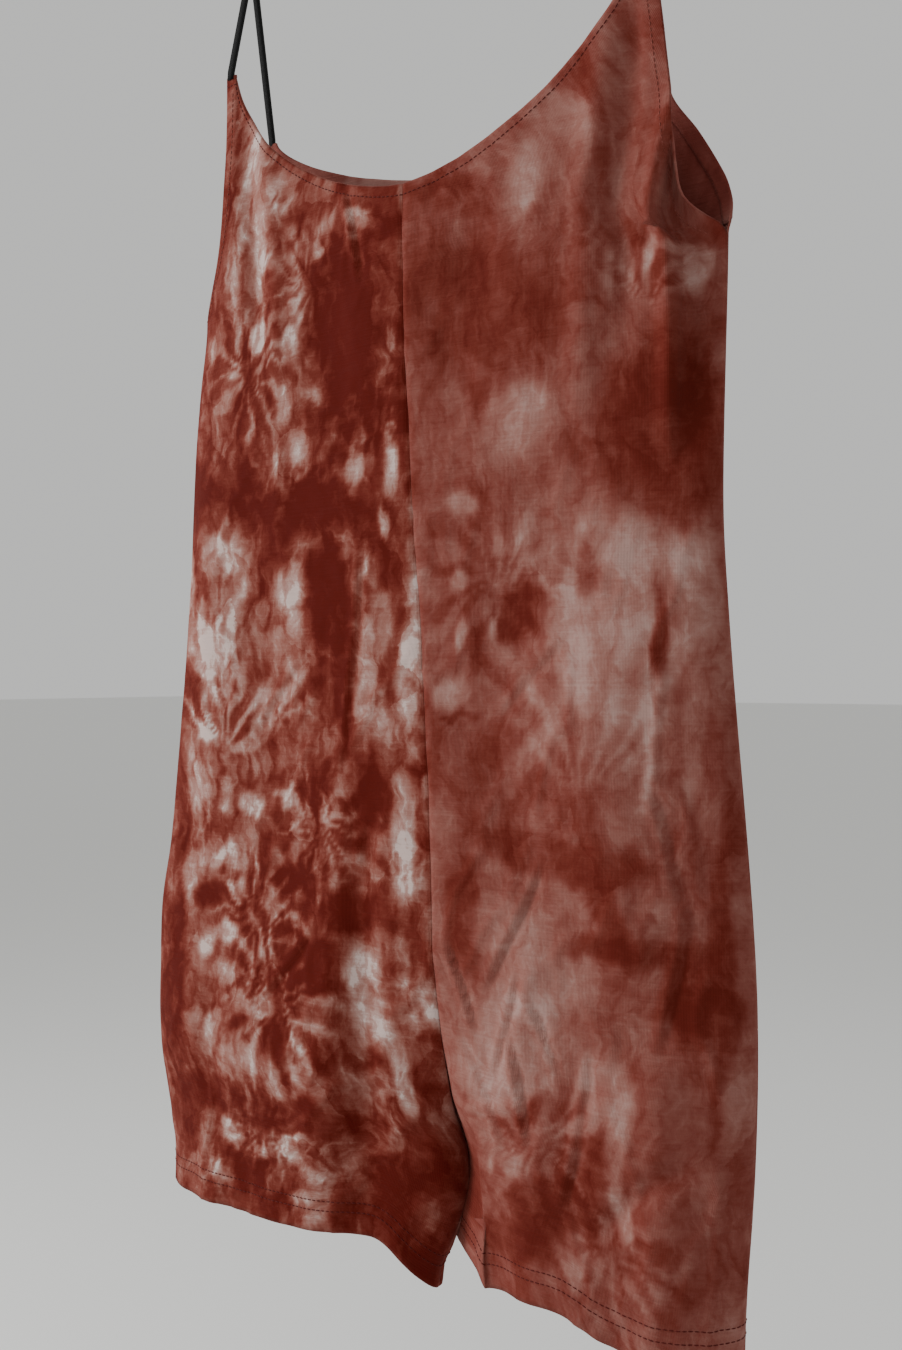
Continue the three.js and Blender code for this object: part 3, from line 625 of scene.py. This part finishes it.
def from_end(panel, edge, depths):
    """Stations along a panel's hem (edge "up") or top ("below_top"), each at the given distances from it."""
    count, columns = panel["across"].shape
    order = slice(None, None, -1 if edge == "below_top" else 1)
    rows = [np.interp(depths, panel[edge][order, c], np.arange(count)[order]) for c in range(columns)]
    return read(panel, np.array(rows), np.repeat(np.arange(columns, dtype=float)[:, None], len(depths), 1))


def from_side(panel, edge, depths, first, last):
    """Stations up a panel's side ("inset") or centre ("across"), each at the given distances in from it."""
    rows, columns = np.arange(first, last + 1), np.arange(panel["across"].shape[1])
    order = slice(None, None, -1 if edge == "inset" else 1)
    found = [np.interp(depths, panel[edge][r, order], columns[order]) for r in rows]
    return read(panel, np.repeat(rows[:, None].astype(float), len(depths), 1), np.array(found))


def level_at(panel, z):
    """The row of a panel nearest to a height of its plain shape."""
    return int(np.argmin(np.abs(panel["v"][:, 0] - z)))


def strips(name, parts, lifts, thickness, replaces):
    """One piece from bands of cloth inside the panels. Each part is its stations and whether they flip."""
    points, faces, dye_and_light_values, us, vs = [], [], [], [], []
    for (place, normal, u, v, dye_and_light), flip in parts:
        start = len(points)
        points.extend((place - normal * lifts[None, :, None]).reshape(-1, 3))
        faces.extend(tuple(i + start for i in quad) for quad in grid_faces(*dye_and_light.shape, flip))
        dye_and_light_values.extend(dye_and_light.ravel())
        us.extend(u.ravel())
        vs.extend(v.ravel())
    piece = mesh_object(name, points, faces)
    add_values(piece, "dye_and_light", dye_and_light_values)
    add_uv(piece, us, vs)
    piece.data.materials.append(inside_jersey)
    face_outwards(piece, merge=0.00002)
    solidify(piece, thickness)
    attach(piece, "garment")
    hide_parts(replaces)
    return piece


def spread_evenly(points, normals, spacing):
    """Points a fixed distance apart along a line, with their directions and normals."""
    run = distances(points)
    count = max(2, int(run[-1] / spacing))
    at = (np.arange(count) + 0.5) * run[-1] / count
    near = 0.0004
    along = unit(read_line(at + near, run, points) - read_line(at - near, run, points))
    normal = read_line(at, run, normals)
    normal -= along * (normal * along).sum(1, keepdims=True)
    return read_line(at, run, points), along, unit(normal)


def model_stitch():
    """One lockstitch: a short plump float of thread whose two ends dive into the cloth."""
    bpy.ops.object.select_all(action="DESELECT")
    bpy.ops.mesh.primitive_cylinder_add(vertices=7, radius=0.3 * MM, depth=2.9 * MM, end_fill_type="TRIFAN",
                                        rotation=(0, math.pi / 2, 0))
    stitch = bpy.context.active_object
    bpy.ops.object.transform_apply(location=True, rotation=True, scale=True)
    work = bmesh.new()
    work.from_mesh(stitch.data)
    long_edges = [e for e in work.edges if e.calc_length() > 2.4 * MM]
    bmesh.ops.subdivide_edges(work, edges=long_edges, cuts=3)
    for vertex in work.verts:
        reach = abs(vertex.co.x) / (1.45 * MM)
        vertex.co.y *= 1 - 0.45 * reach ** 3
        vertex.co.z = vertex.co.z * (1 - 0.45 * reach ** 3) - 0.34 * MM * reach ** 3
    work.to_mesh(stitch.data)
    work.free()
    shape = np.array([tuple(v.co) for v in stitch.data.vertices])
    faces = [tuple(p.vertices) for p in stitch.data.polygons]
    bpy.data.objects.remove(stitch)
    return shape, faces


def sew(name, lines, replaces, thread):
    """One piece holding every stitch along the given lines, each a pair of points and normals."""
    shape, stitch_faces = STITCH
    points, faces = [], []
    for line, normals in lines:
        centre, along, normal = spread_evenly(line, normals, STITCH_SPACING)
        beside = np.cross(normal, along)
        for k in range(len(centre)):
            skew = 0.06 * math.sin(k * 2.4)
            turned = np.stack([along[k] + beside[k] * skew, beside[k] - along[k] * skew, normal[k]])
            start = len(points)
            points.extend(centre[k] + normal[k] * STITCH_LIFT + shape @ turned)
            faces.extend(tuple(i + start for i in face) for face in stitch_faces)
    piece = mesh_object(name, points, faces)
    only(piece)
    bpy.ops.object.shade_smooth()
    piece.data.materials.append(thread)
    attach(piece, "garment")
    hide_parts(replaces)
    return piece


def overlock(name, place, normal):
    """The looped thread over a seam's raw edge, as one thin tube that runs to and fro."""
    run = distances(place[:, 0])
    steps = int(run[-1] / LOOP_SPACING) * 6
    at = np.linspace(0, run[-1], steps + 1)
    sweep = 0.5 - 0.5 * np.cos(np.arange(steps + 1) * 2 * np.pi / 6)
    path = mix(read_line(at, run, place[:, 0]), read_line(at, run, place[:, -1]),
               (0.04 + 0.98 * sweep)[:, None])
    up = unit(-read_line(at, run, normal[:, 0]))
    path = path + up * (LOOP_LIFT + 0.15 * MM * sweep)[:, None]
    side = unit(np.cross(unit(np.gradient(path, axis=0)), up))
    points, faces, count = [], [], len(path)
    for k in range(4):
        angle = k * math.pi / 2
        points.extend(path + (side * math.cos(angle) + up * math.sin(angle)) * LOOP_THREAD)
        a, b = k * count, (k + 1) % 4 * count
        faces.extend((a + i, b + i, b + i + 1, a + i + 1) for i in range(count - 1))
    faces.append(tuple(k * count for k in (3, 2, 1, 0)))
    faces.append(tuple(k * count + count - 1 for k in range(4)))
    piece = mesh_object(name, points, faces)
    face_outwards(piece)
    bpy.ops.object.shade_smooth()
    piece.data.materials.append(rust_thread)
    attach(piece, "garment")
    return piece


def seam(panel, edge, first, last, allowance, loops, replaces):
    """A seam's allowance inside one panel, and the overlock thread over it."""
    stations = from_side(panel, edge, SEAM_DEPTHS, first, last)
    return [strips(allowance, [(stations, False)], SEAM_LIFTS, SEAM_LAYERS, replaces),
            overlock(loops, *stations[:2])]


def line_of(stations):
    return stations[0][:, 0], stations[1][:, 0]


def joined(first, second):
    """Two lines that meet, first one run backwards into the second."""
    return tuple(np.concatenate([a[::-1], b[1:]]) for a, b in zip(first, second))


def make_trims():
    """Every trim, listed under the panel whose cloth it goes with."""
    trims = {name: [] for name in panels}
    for face_name in CUTS:
        pair = [panels[f"{face_name}_{side_name}"] for side_name in SIDES]
        left = panels[f"{face_name}_left"]
        parts = [(from_end(p, "below_top", TURN_DEPTHS), p["flip"]) for p in pair]
        trims[f"{face_name}_right"].append(
            strips(f"{face_name}_neck_turned_edge", parts, TURN_LIFTS, JERSEY, f"{face_name}_neck_turn"))
        lines = [line_of(from_end(p, "below_top", [EDGE_STITCH])) for p in pair]
        trims[f"{face_name}_left"].append(
            sew(f"{face_name}_neck_stitches", [joined(*lines)], f"{face_name}_neck_topstitch", maroon_thread))
        trims[f"{face_name}_left"] += seam(
            left, "across", level_at(left, CROTCH), left["across"].shape[0] - 5,
            f"centre_{face_name}_seam_allowance", f"centre_{face_name}_overlock", f"centre_{face_name}_seam")
    for side_name in SIDES:
        pair = [panels[f"{face_name}_{side_name}"] for face_name in CUTS]
        back = panels[f"back_{side_name}"]
        mine, other = trims[f"front_{side_name}"], trims[f"back_{side_name}"]
        parts, lines = [], []
        for p in pair:
            top = int(np.argmin(np.abs(p["below_top"][:, -1] - 9 * MM)))
            parts.append((from_side(p, "inset", TURN_DEPTHS, p["bust"], top), p["flip"]))
            lines.append(line_of(from_side(p, "inset", [EDGE_STITCH], p["bust"], top)))
        mine.append(strips(f"armhole_turned_edge_{side_name}", parts, TURN_LIFTS, JERSEY,
                           f"armhole_turn_{side_name}"))
        other.append(sew(f"armhole_stitches_{side_name}", lines, f"armhole_topstitch_{side_name}",
                         rust_thread))
        parts = [(from_end(p, "up", HEM_DEPTHS), False) for p in pair]
        mine.append(strips(f"leg_hem_band_{side_name}", parts, HEM_LIFTS, JERSEY, f"leg_hem_{side_name}"))
        for which, height in zip(("lower", "upper"), HEM_STITCHES):
            lines = [line_of(from_end(p, "up", [height])) for p in pair]
            other.append(sew(f"leg_stitches_{which}_{side_name}", [joined(*lines)],
                             f"leg_topstitch_{which}_{side_name}", maroon_thread))
        hem_top = level_at(back, HEM + HEM_DEPTH + 1 * MM)
        for seam_name, edge, last in (("inseam", "across", level_at(back, CROTCH)),
                                      ("side_seam", "inset", back["bust"] - 2)):
            other += seam(back, edge, hem_top, last, f"{seam_name}_allowance_{side_name}",
                          f"{seam_name}_overlock_{side_name}", f"{seam_name}_{side_name}")
    return trims


# ---------------------------------------------------------------- straps
STRAP = (4.8 * MM, 3.0 * MM)     # width and thickness
STRAP_ENDS = {"front": (142 * MM, -16.821 * MM, -66.969 * MM), "back": (138 * MM, 17.472 * MM, -99.969 * MM)}
SEWN_IN = 5 * MM                 # how far each end goes down into the cloth
CROWN_X, CROWN_Z = 140 * MM, -1.6 * MM
CROWN_BEND = 2.6 * MM            # radius of the bend over the hanger
RING = 40                        # points round a strap
RIBS = 5


def strap_path():
    """The middle of the left strap, up from the front strap point, over the hanger and down to the back."""
    fx, fy, fz = STRAP_ENDS["front"]
    bx, by, bz = STRAP_ENDS["back"]
    front, back = (CROWN_X, -CROWN_BEND, CROWN_Z), (CROWN_X, CROWN_BEND, CROWN_Z)
    path = [(fx, fy - 0.4 * MM, fz - SEWN_IN)]
    path += [tuple(mix(a, b, t) for a, b in zip((fx, fy, fz), front)) for t in np.linspace(0, 1, 14)]
    path += [(CROWN_X, -CROWN_BEND * math.cos(a), CROWN_Z + CROWN_BEND * math.sin(a))
             for a in np.linspace(0, math.pi, 9)[1:-1]]
    path += [tuple(mix(a, b, t) for a, b in zip(back, (bx, by, bz))) for t in np.linspace(0, 1, 18)]
    path += [(bx, by + 0.2 * MM, bz - SEWN_IN)]
    return np.array(path)


def strap_ring():
    """The outline across a strap: a flattened round with shallow ribs."""
    ring = []
    for k in range(RING):
        a = 2 * math.pi * k / RING
        wide = math.copysign(abs(math.cos(a)) ** 0.7, math.cos(a)) * STRAP[0] / 2
        thick = math.copysign(abs(math.sin(a)) ** 0.75, math.sin(a)) * STRAP[1] / 2
        ring.append((wide, thick * (1 + 0.1 * math.cos(wide / STRAP[0] * 2 * math.pi * RIBS))))
    return ring


def make_strap(side_name):
    """A narrow ribbed elastic over the peg of a hanger, from the front strap point to the back one."""
    path, ring = strap_path() * (SIDES[side_name], 1, 1), strap_ring()
    points, faces = [], []
    for place, forward in zip(path, unit(np.gradient(path, axis=0))):
        wide_way = unit(np.array([1.0, 0, 0]) - forward * forward[0])
        thick_way = np.cross(forward, wide_way)
        points.extend(place + wide_way * w + thick_way * t for w, t in ring)
    for start in range(0, len(points) - RING, RING):
        for i in range(RING):
            a, b = start + i, start + (i + 1) % RING
            faces.append((a, b, b + RING, a + RING))
    faces.append(tuple(range(RING - 1, -1, -1)))
    faces.append(tuple(range(len(points) - RING, len(points))))
    piece = mesh_object(f"elastic_strap_{side_name}", points, faces)
    add_uv(piece, np.tile([w for w, _ in ring], len(path)), np.repeat(distances(path), RING))
    face_outwards(piece)
    bpy.ops.object.shade_smooth()
    piece.data.materials.append(elastic)
    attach(piece, f"{side_name}_strap")
    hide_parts(f"strap_{side_name}")
    return piece


# ---------------------------------------------------------------- materials
def new_material(name):
    material = bpy.data.materials.new(name)
    material.use_nodes = True
    material.node_tree.nodes.clear()
    return material


def node(tree, kind, inputs=None, **settings):
    made = tree.nodes.new(kind)
    for key, value in settings.items():
        setattr(made, key, value)
    for key, value in (inputs or {}).items():
        if isinstance(value, bpy.types.NodeSocket):
            tree.links.new(value, made.inputs[key])
        else:
            made.inputs[key].default_value = value
    return made


def math_node(tree, operation, a, b=0.0, c=0.0):
    return node(tree, "ShaderNodeMath", {0: a, 1: b, 2: c}, operation=operation).outputs[0]


def ramp(tree, factor, stops, interpolation="EASE"):
    made = node(tree, "ShaderNodeValToRGB", {"Fac": factor})
    made.color_ramp.interpolation = interpolation
    elements = made.color_ramp.elements
    while len(elements) < len(stops):
        elements.new(0.5)
    for element, (place, colour) in zip(elements, stops):
        element.position = place
        element.color = (*colour, 1)
    return made.outputs["Color"]


def group(name, inputs, outputs):
    """A shader node group with named float or vector inputs and outputs, and its two end nodes."""
    made = bpy.data.node_groups.new(name, "ShaderNodeTree")
    for label, value in inputs:
        kind = "NodeSocketVector" if value is None else "NodeSocketFloat"
        socket = made.interface.new_socket(name=label, in_out="INPUT", socket_type=kind)
        if value is not None:
            socket.default_value = value
    for label in outputs:
        made.interface.new_socket(name=label, in_out="OUTPUT", socket_type="NodeSocketFloat")
    return made, made.nodes.new("NodeGroupInput").outputs, made.nodes.new("NodeGroupOutput").inputs


def noise(tree, vector, scale, detail=3.0, rough=0.55, stretch=None, output="Fac"):
    if stretch:
        vector = node(tree, "ShaderNodeMapping", {"Vector": vector, "Scale": (*stretch, 1.0)}).outputs[0]
    made = node(tree, "ShaderNodeTexNoise", {"Vector": vector, "Scale": scale, "Detail": detail,
                                             "Roughness": rough}, noise_dimensions="2D")
    return made.outputs[output]


def step_between(tree, value, low, high, to_low=0.0, to_high=1.0):
    return node(tree, "ShaderNodeMapRange", {"Value": value, "From Min": low, "From Max": high,
                                             "To Min": to_low, "To Max": to_high},
                interpolation_type="SMOOTHSTEP").outputs[0]


def cells(tree, vector, scale, **settings):
    """A pattern of cells, with its own number of them to the metre each way."""
    stretched = node(tree, "ShaderNodeMapping", {"Vector": vector, "Scale": (*scale, 1.0)}).outputs[0]
    return node(tree, "ShaderNodeTexVoronoi", {"Vector": stretched, "Scale": 1.0}, voronoi_dimensions="2D",
                **settings).outputs


def bump(tree, height, strength, distance):
    made = node(tree, "ShaderNodeBump", {"Height": height, "Strength": strength, "Distance": distance})
    return made.outputs["Normal"]


def surface(tree, inputs):
    """The material's shader, joined to its output."""
    shader = node(tree, "ShaderNodeBsdfPrincipled", inputs)
    tree.links.new(shader.outputs[0], node(tree, "ShaderNodeOutputMaterial").inputs["Surface"])


def pushed(tree, vector, colour, amount):
    """Moves texture coordinates about by a noise colour."""
    centred = node(tree, "ShaderNodeVectorMath", {0: colour, 1: (0.5, 0.5, 0.5)}, operation="SUBTRACT")
    scaled = node(tree, "ShaderNodeVectorMath", {0: centred.outputs[0], "Scale": amount}, operation="SCALE")
    return node(tree, "ShaderNodeVectorMath", {0: vector, 1: scaled.outputs[0]}, operation="ADD").outputs[0]


WALE, COURSE = 0.0008, 0.0007    # width of a knitted rib, height of a knitted row
BRAID_STEP, BRAID_RIB = 0.0011, 0.001


def make_scrunch_group():
    """Breaks a soft depth of dye, with its few marks of painted shade and painted light, into the facets,
    dark veins, pale wisps and streaks of scrunched cloth.
    """
    tree, given, result = group("scrunch_dye_and_light", (("Cloth", None), ("Depth", 0.5), ("Facets", 0.3),
                                                ("Veins", 0.2), ("Wisps", 0.2), ("Grain", 0.3),
                                                ("Contrast", 1.0)), ("Depth", "Grain"))
    do, cloth = partial(math_node, tree), given["Cloth"]
    bent = pushed(tree, cloth, noise(tree, cloth, 17.0, 3.0, output="Color"), 0.024)
    bent = pushed(tree, bent, noise(tree, cloth, 80.0, 4.0, 0.6, output="Color"), 0.009)
    facets = cells(tree, bent, (46.0, 27.0))
    tone = node(tree, "ShaderNodeSeparateColor", {"Color": facets["Color"]}).outputs[0]
    tone = do("MULTIPLY", do("SUBTRACT", tone, 0.5), 0.5)
    tone = do("ADD", tone, do("SUBTRACT", facets["Distance"], 0.42))
    border = cells(tree, bent, (78.0, 44.0), feature="DISTANCE_TO_EDGE")["Distance"]
    vein = do("MULTIPLY", step_between(tree, border, 0.0, 0.34, 1.0, 0.0),
              step_between(tree, noise(tree, cloth, 28.0, 2.0), 0.42, 0.6))
    contour = do("ABSOLUTE", do("SUBTRACT", noise(tree, bent, 34.0, 3.0), 0.5))
    wisp = do("MULTIPLY", step_between(tree, contour, 0.0, 0.13, 1.0, 0.0),
              step_between(tree, noise(tree, cloth, 22.0, 2.0, stretch=(1.0, 0.7)), 0.45, 0.62))
    grain = do("SUBTRACT", noise(tree, bent, 150.0, 7.0, 0.68), 0.5)
    streak = do("SUBTRACT", noise(tree, bent, 1.0, 4.0, 0.6, (230.0, 48.0)), 0.5)
    cloud = do("SUBTRACT", noise(tree, bent, 38.0, 5.0, 0.62), 0.5)
    depth = do("MULTIPLY_ADD", tone, given["Facets"], given["Depth"])
    depth = do("MULTIPLY_ADD", vein, given["Veins"], depth)
    depth = do("SUBTRACT", depth, do("MULTIPLY", wisp, given["Wisps"]))
    rough = do("ADD", do("ADD", grain, do("MULTIPLY", streak, 0.8)), do("MULTIPLY", cloud, 1.3))
    depth = do("MULTIPLY_ADD", rough, given["Grain"], depth)
    depth = do("MULTIPLY_ADD", do("SUBTRACT", depth, 0.5), given["Contrast"], 0.5)
    tree.links.new(depth, result["Depth"])
    tree.links.new(grain, result["Grain"])
    return tree


def make_knit_group():
    """Slub yarn running across the cloth over fine knitted ribs: a height for bump and a tone."""
    tree, given, result = group("slub_knit", (("Cloth", None),), ("Height", "Tone"))
    do, cloth = partial(math_node, tree), given["Cloth"]
    slub = do("SUBTRACT", noise(tree, cloth, 1.0, 3.0, 0.6, (30.0, 720.0)), 0.5)
    split = node(tree, "ShaderNodeSeparateXYZ", {"Vector": cloth})
    wale = do("SINE", do("MULTIPLY", split.outputs[0], 2 * math.pi / WALE))
    course = do("SINE", do("MULTIPLY", split.outputs[1], 2 * math.pi / COURSE))
    height = do("MULTIPLY_ADD", wale, 0.14, do("MULTIPLY", course, 0.08))
    tree.links.new(do("MULTIPLY_ADD", slub, 1.4, height), result["Height"])
    tree.links.new(slub, result["Tone"])
    return tree


SCRUNCH, KNIT = make_scrunch_group(), make_knit_group()

RUST = ((0.0, (0.57, 0.452, 0.418)), (0.07, (0.425, 0.274, 0.241)), (0.24, (0.325, 0.157, 0.128)),
        (0.46, (0.225, 0.0665, 0.0485)), (0.68, (0.15, 0.0195, 0.012)), (1.0, (0.078, 0.0032, 0.0016)))
DUSTY = ((0.0, (0.41, 0.261, 0.23)), (0.18, (0.326, 0.158, 0.131)), (0.40, (0.254, 0.092, 0.073)),
         (0.60, (0.195, 0.0475, 0.036)), (0.80, (0.144, 0.0216, 0.0135)), (1.0, (0.099, 0.00945, 0.00585)))
INSIDE = tuple((place, tuple(min(1.0, c * 1.08 + 0.01) for c in colour)) for place, colour in DUSTY)


def jersey_material(name, stops, facets, veins, wisps, grain, contrast):
    """Slub jersey in one dye bath's colours, from bare cloth to full depth, and how strong each mark is."""
    material = new_material(name)
    tree = material.node_tree
    cloth = node(tree, "ShaderNodeUVMap", uv_map="cloth").outputs["UV"]
    painted = node(tree, "ShaderNodeAttribute", attribute_name="dye_and_light").outputs["Fac"]
    dye_and_light = tree.nodes.new("ShaderNodeGroup")
    dye_and_light.node_tree = SCRUNCH
    tree.links.new(cloth, dye_and_light.inputs["Cloth"])
    tree.links.new(painted, dye_and_light.inputs["Depth"])
    for label, value in zip(("Facets", "Veins", "Wisps", "Grain", "Contrast"),
                            (facets, veins, wisps, grain, contrast)):
        dye_and_light.inputs[label].default_value = value
    knit = tree.nodes.new("ShaderNodeGroup")
    knit.node_tree = KNIT
    tree.links.new(cloth, knit.inputs["Cloth"])
    depth = math_node(tree, "MULTIPLY_ADD", knit.outputs["Tone"], 0.11, dye_and_light.outputs["Depth"])
    height = math_node(tree, "MULTIPLY_ADD", dye_and_light.outputs["Grain"], 0.5, knit.outputs["Height"])
    surface(tree, {"Base Color": ramp(tree, depth, stops, "B_SPLINE"),
                   "Normal": bump(tree, height, 0.6, 0.0005),
                   "Roughness": step_between(tree, dye_and_light.outputs["Grain"], -0.3, 0.3, 0.86, 0.96),
                   "Sheen Weight": 0.07, "Sheen Roughness": 0.45, "Sheen Tint": (0.9, 0.55, 0.45, 1),
                   "Specular IOR Level": 0.06})
    return material


def thread_material(name, dark, middle, light):
    """Sewing thread: two plies twisted together."""
    material = new_material(name)
    tree = material.node_tree
    place = node(tree, "ShaderNodeTexCoord").outputs["Object"]
    twist = node(tree, "ShaderNodeTexWave", {"Vector": place, "Scale": 420.0, "Distortion": 1.5,
                                             "Detail": 1.0}, bands_direction="DIAGONAL").outputs["Fac"]
    shade = node(tree, "ShaderNodeTexNoise", {"Vector": place, "Scale": 220.0, "Detail": 3.0}).outputs["Fac"]
    tone = math_node(tree, "MULTIPLY_ADD", twist, 0.35, math_node(tree, "MULTIPLY", shade, 0.8))
    surface(tree, {"Base Color": ramp(tree, tone, ((0.0, dark), (0.5, middle), (1.0, light)), "LINEAR"),
                   "Normal": bump(tree, twist, 0.5, 0.0001), "Roughness": 0.7, "Specular IOR Level": 0.15})
    return material


def elastic_material():
    """Matt black elastic braid, its yarns crossing in small slanting steps."""
    material = new_material("black_elastic")
    tree = material.node_tree
    do = partial(math_node, tree)
    cloth = node(tree, "ShaderNodeUVMap", uv_map="cloth").outputs["UV"]
    split = node(tree, "ShaderNodeSeparateXYZ", {"Vector": cloth})
    step = do("ADD", split.outputs[1], do("MULTIPLY", do("ABSOLUTE", split.outputs[0]), 0.9))
    yarn = do("SINE", do("MULTIPLY", step, 2 * math.pi / BRAID_STEP))
    rib = do("SINE", do("MULTIPLY", split.outputs[0], 2 * math.pi / BRAID_RIB))
    lint = node(tree, "ShaderNodeTexNoise", {"Vector": cloth, "Scale": 900.0, "Detail": 4.0}).outputs["Fac"]
    height = do("MULTIPLY_ADD", yarn, 0.5, do("MULTIPLY", rib, 0.5))
    blacks = ((0.2, (0.002, 0.002, 0.0022)), (0.6, (0.005, 0.005, 0.005)), (0.95, (0.014, 0.0135, 0.013)))
    surface(tree, {"Base Color": ramp(tree, do("MULTIPLY_ADD", height, 0.18, lint), blacks, "LINEAR"),
                   "Normal": bump(tree, height, 0.6, 0.00025),
                   "Roughness": step_between(tree, lint, 0.3, 0.7, 0.62, 0.8), "Specular IOR Level": 0.16})
    return material


rust_jersey = jersey_material("rust_jersey", RUST, 0.34, 0.20, 0.16, 0.40, 1.15)
dusty_jersey = jersey_material("dusty_jersey", DUSTY, 0.20, 0.07, 0.08, 0.36, 1.0)
inside_jersey = jersey_material("inside_jersey", INSIDE, 0.14, 0.08, 0.08, 0.25, 0.8)
maroon_thread = thread_material("maroon_thread", (0.030, 0.002, 0.002), (0.075, 0.006, 0.005),
                                (0.13, 0.014, 0.01))
rust_thread = thread_material("rust_thread", (0.11, 0.016, 0.010), (0.19, 0.040, 0.028), (0.28, 0.085, 0.065))
elastic = elastic_material()
STITCH = model_stitch()

# ---------------------------------------------------------------- the garment put together
for face_name in CUTS:
    for side_name in SIDES:
        make_panel(face_name, side_name)
trims = make_trims()
straps = {side_name: make_strap(side_name) for side_name in SIDES}

# ---------------------------------------------------------------- camera, floor and light
CAMERA_PLACE, CAMERA_AHEAD = (0.4405, -0.6328, -0.451), (-0.5577, 0.830, 0)
FLOOR_HEIGHT = -1.35
WORLD_STRENGTH = 0.68

camera_data = bpy.data.cameras.new("camera")
camera_data.lens = 35
camera_data.sensor_width = 36
camera = bpy.data.objects.new("camera", camera_data)
camera.location = CAMERA_PLACE
camera.rotation_euler = Vector(CAMERA_AHEAD).to_track_quat("-Z", "Y").to_euler()
scene.collection.objects.link(camera)
scene.camera = camera

bpy.ops.mesh.primitive_plane_add(size=80, location=(0, 0, FLOOR_HEIGHT))
floor = bpy.context.active_object
floor.name = "floor"
pale = new_material("pale_floor")
surface(pale.node_tree, {"Base Color": (0.78, 0.78, 0.765, 1), "Roughness": 0.9})
floor.data.materials.append(pale)

world = bpy.data.worlds.new("studio")
scene.world = world
world.use_nodes = True
backdrop = world.node_tree.nodes["Background"].inputs
backdrop["Color"].default_value = (0.96, 0.96, 0.945, 1)
backdrop["Strength"].default_value = WORLD_STRENGTH


def area_light(name, place, target, size, power):
    data = bpy.data.lights.new(name, "AREA")
    data.shape = "RECTANGLE"
    data.size, data.size_y = size
    data.energy = power
    light = bpy.data.objects.new(name, data)
    light.location = place
    light.rotation_euler = (Vector(target) - Vector(place)).to_track_quat("-Z", "Y").to_euler()
    scene.collection.objects.link(light)


area_light("window", (-2.0, -1.1, 0.35), (0, 0, -0.45), (0.9, 1.3), 62)
area_light("back_fill", (1.2, 2.2, 0.4), (0, 0, -0.4), (1.6, 1.6), 10)
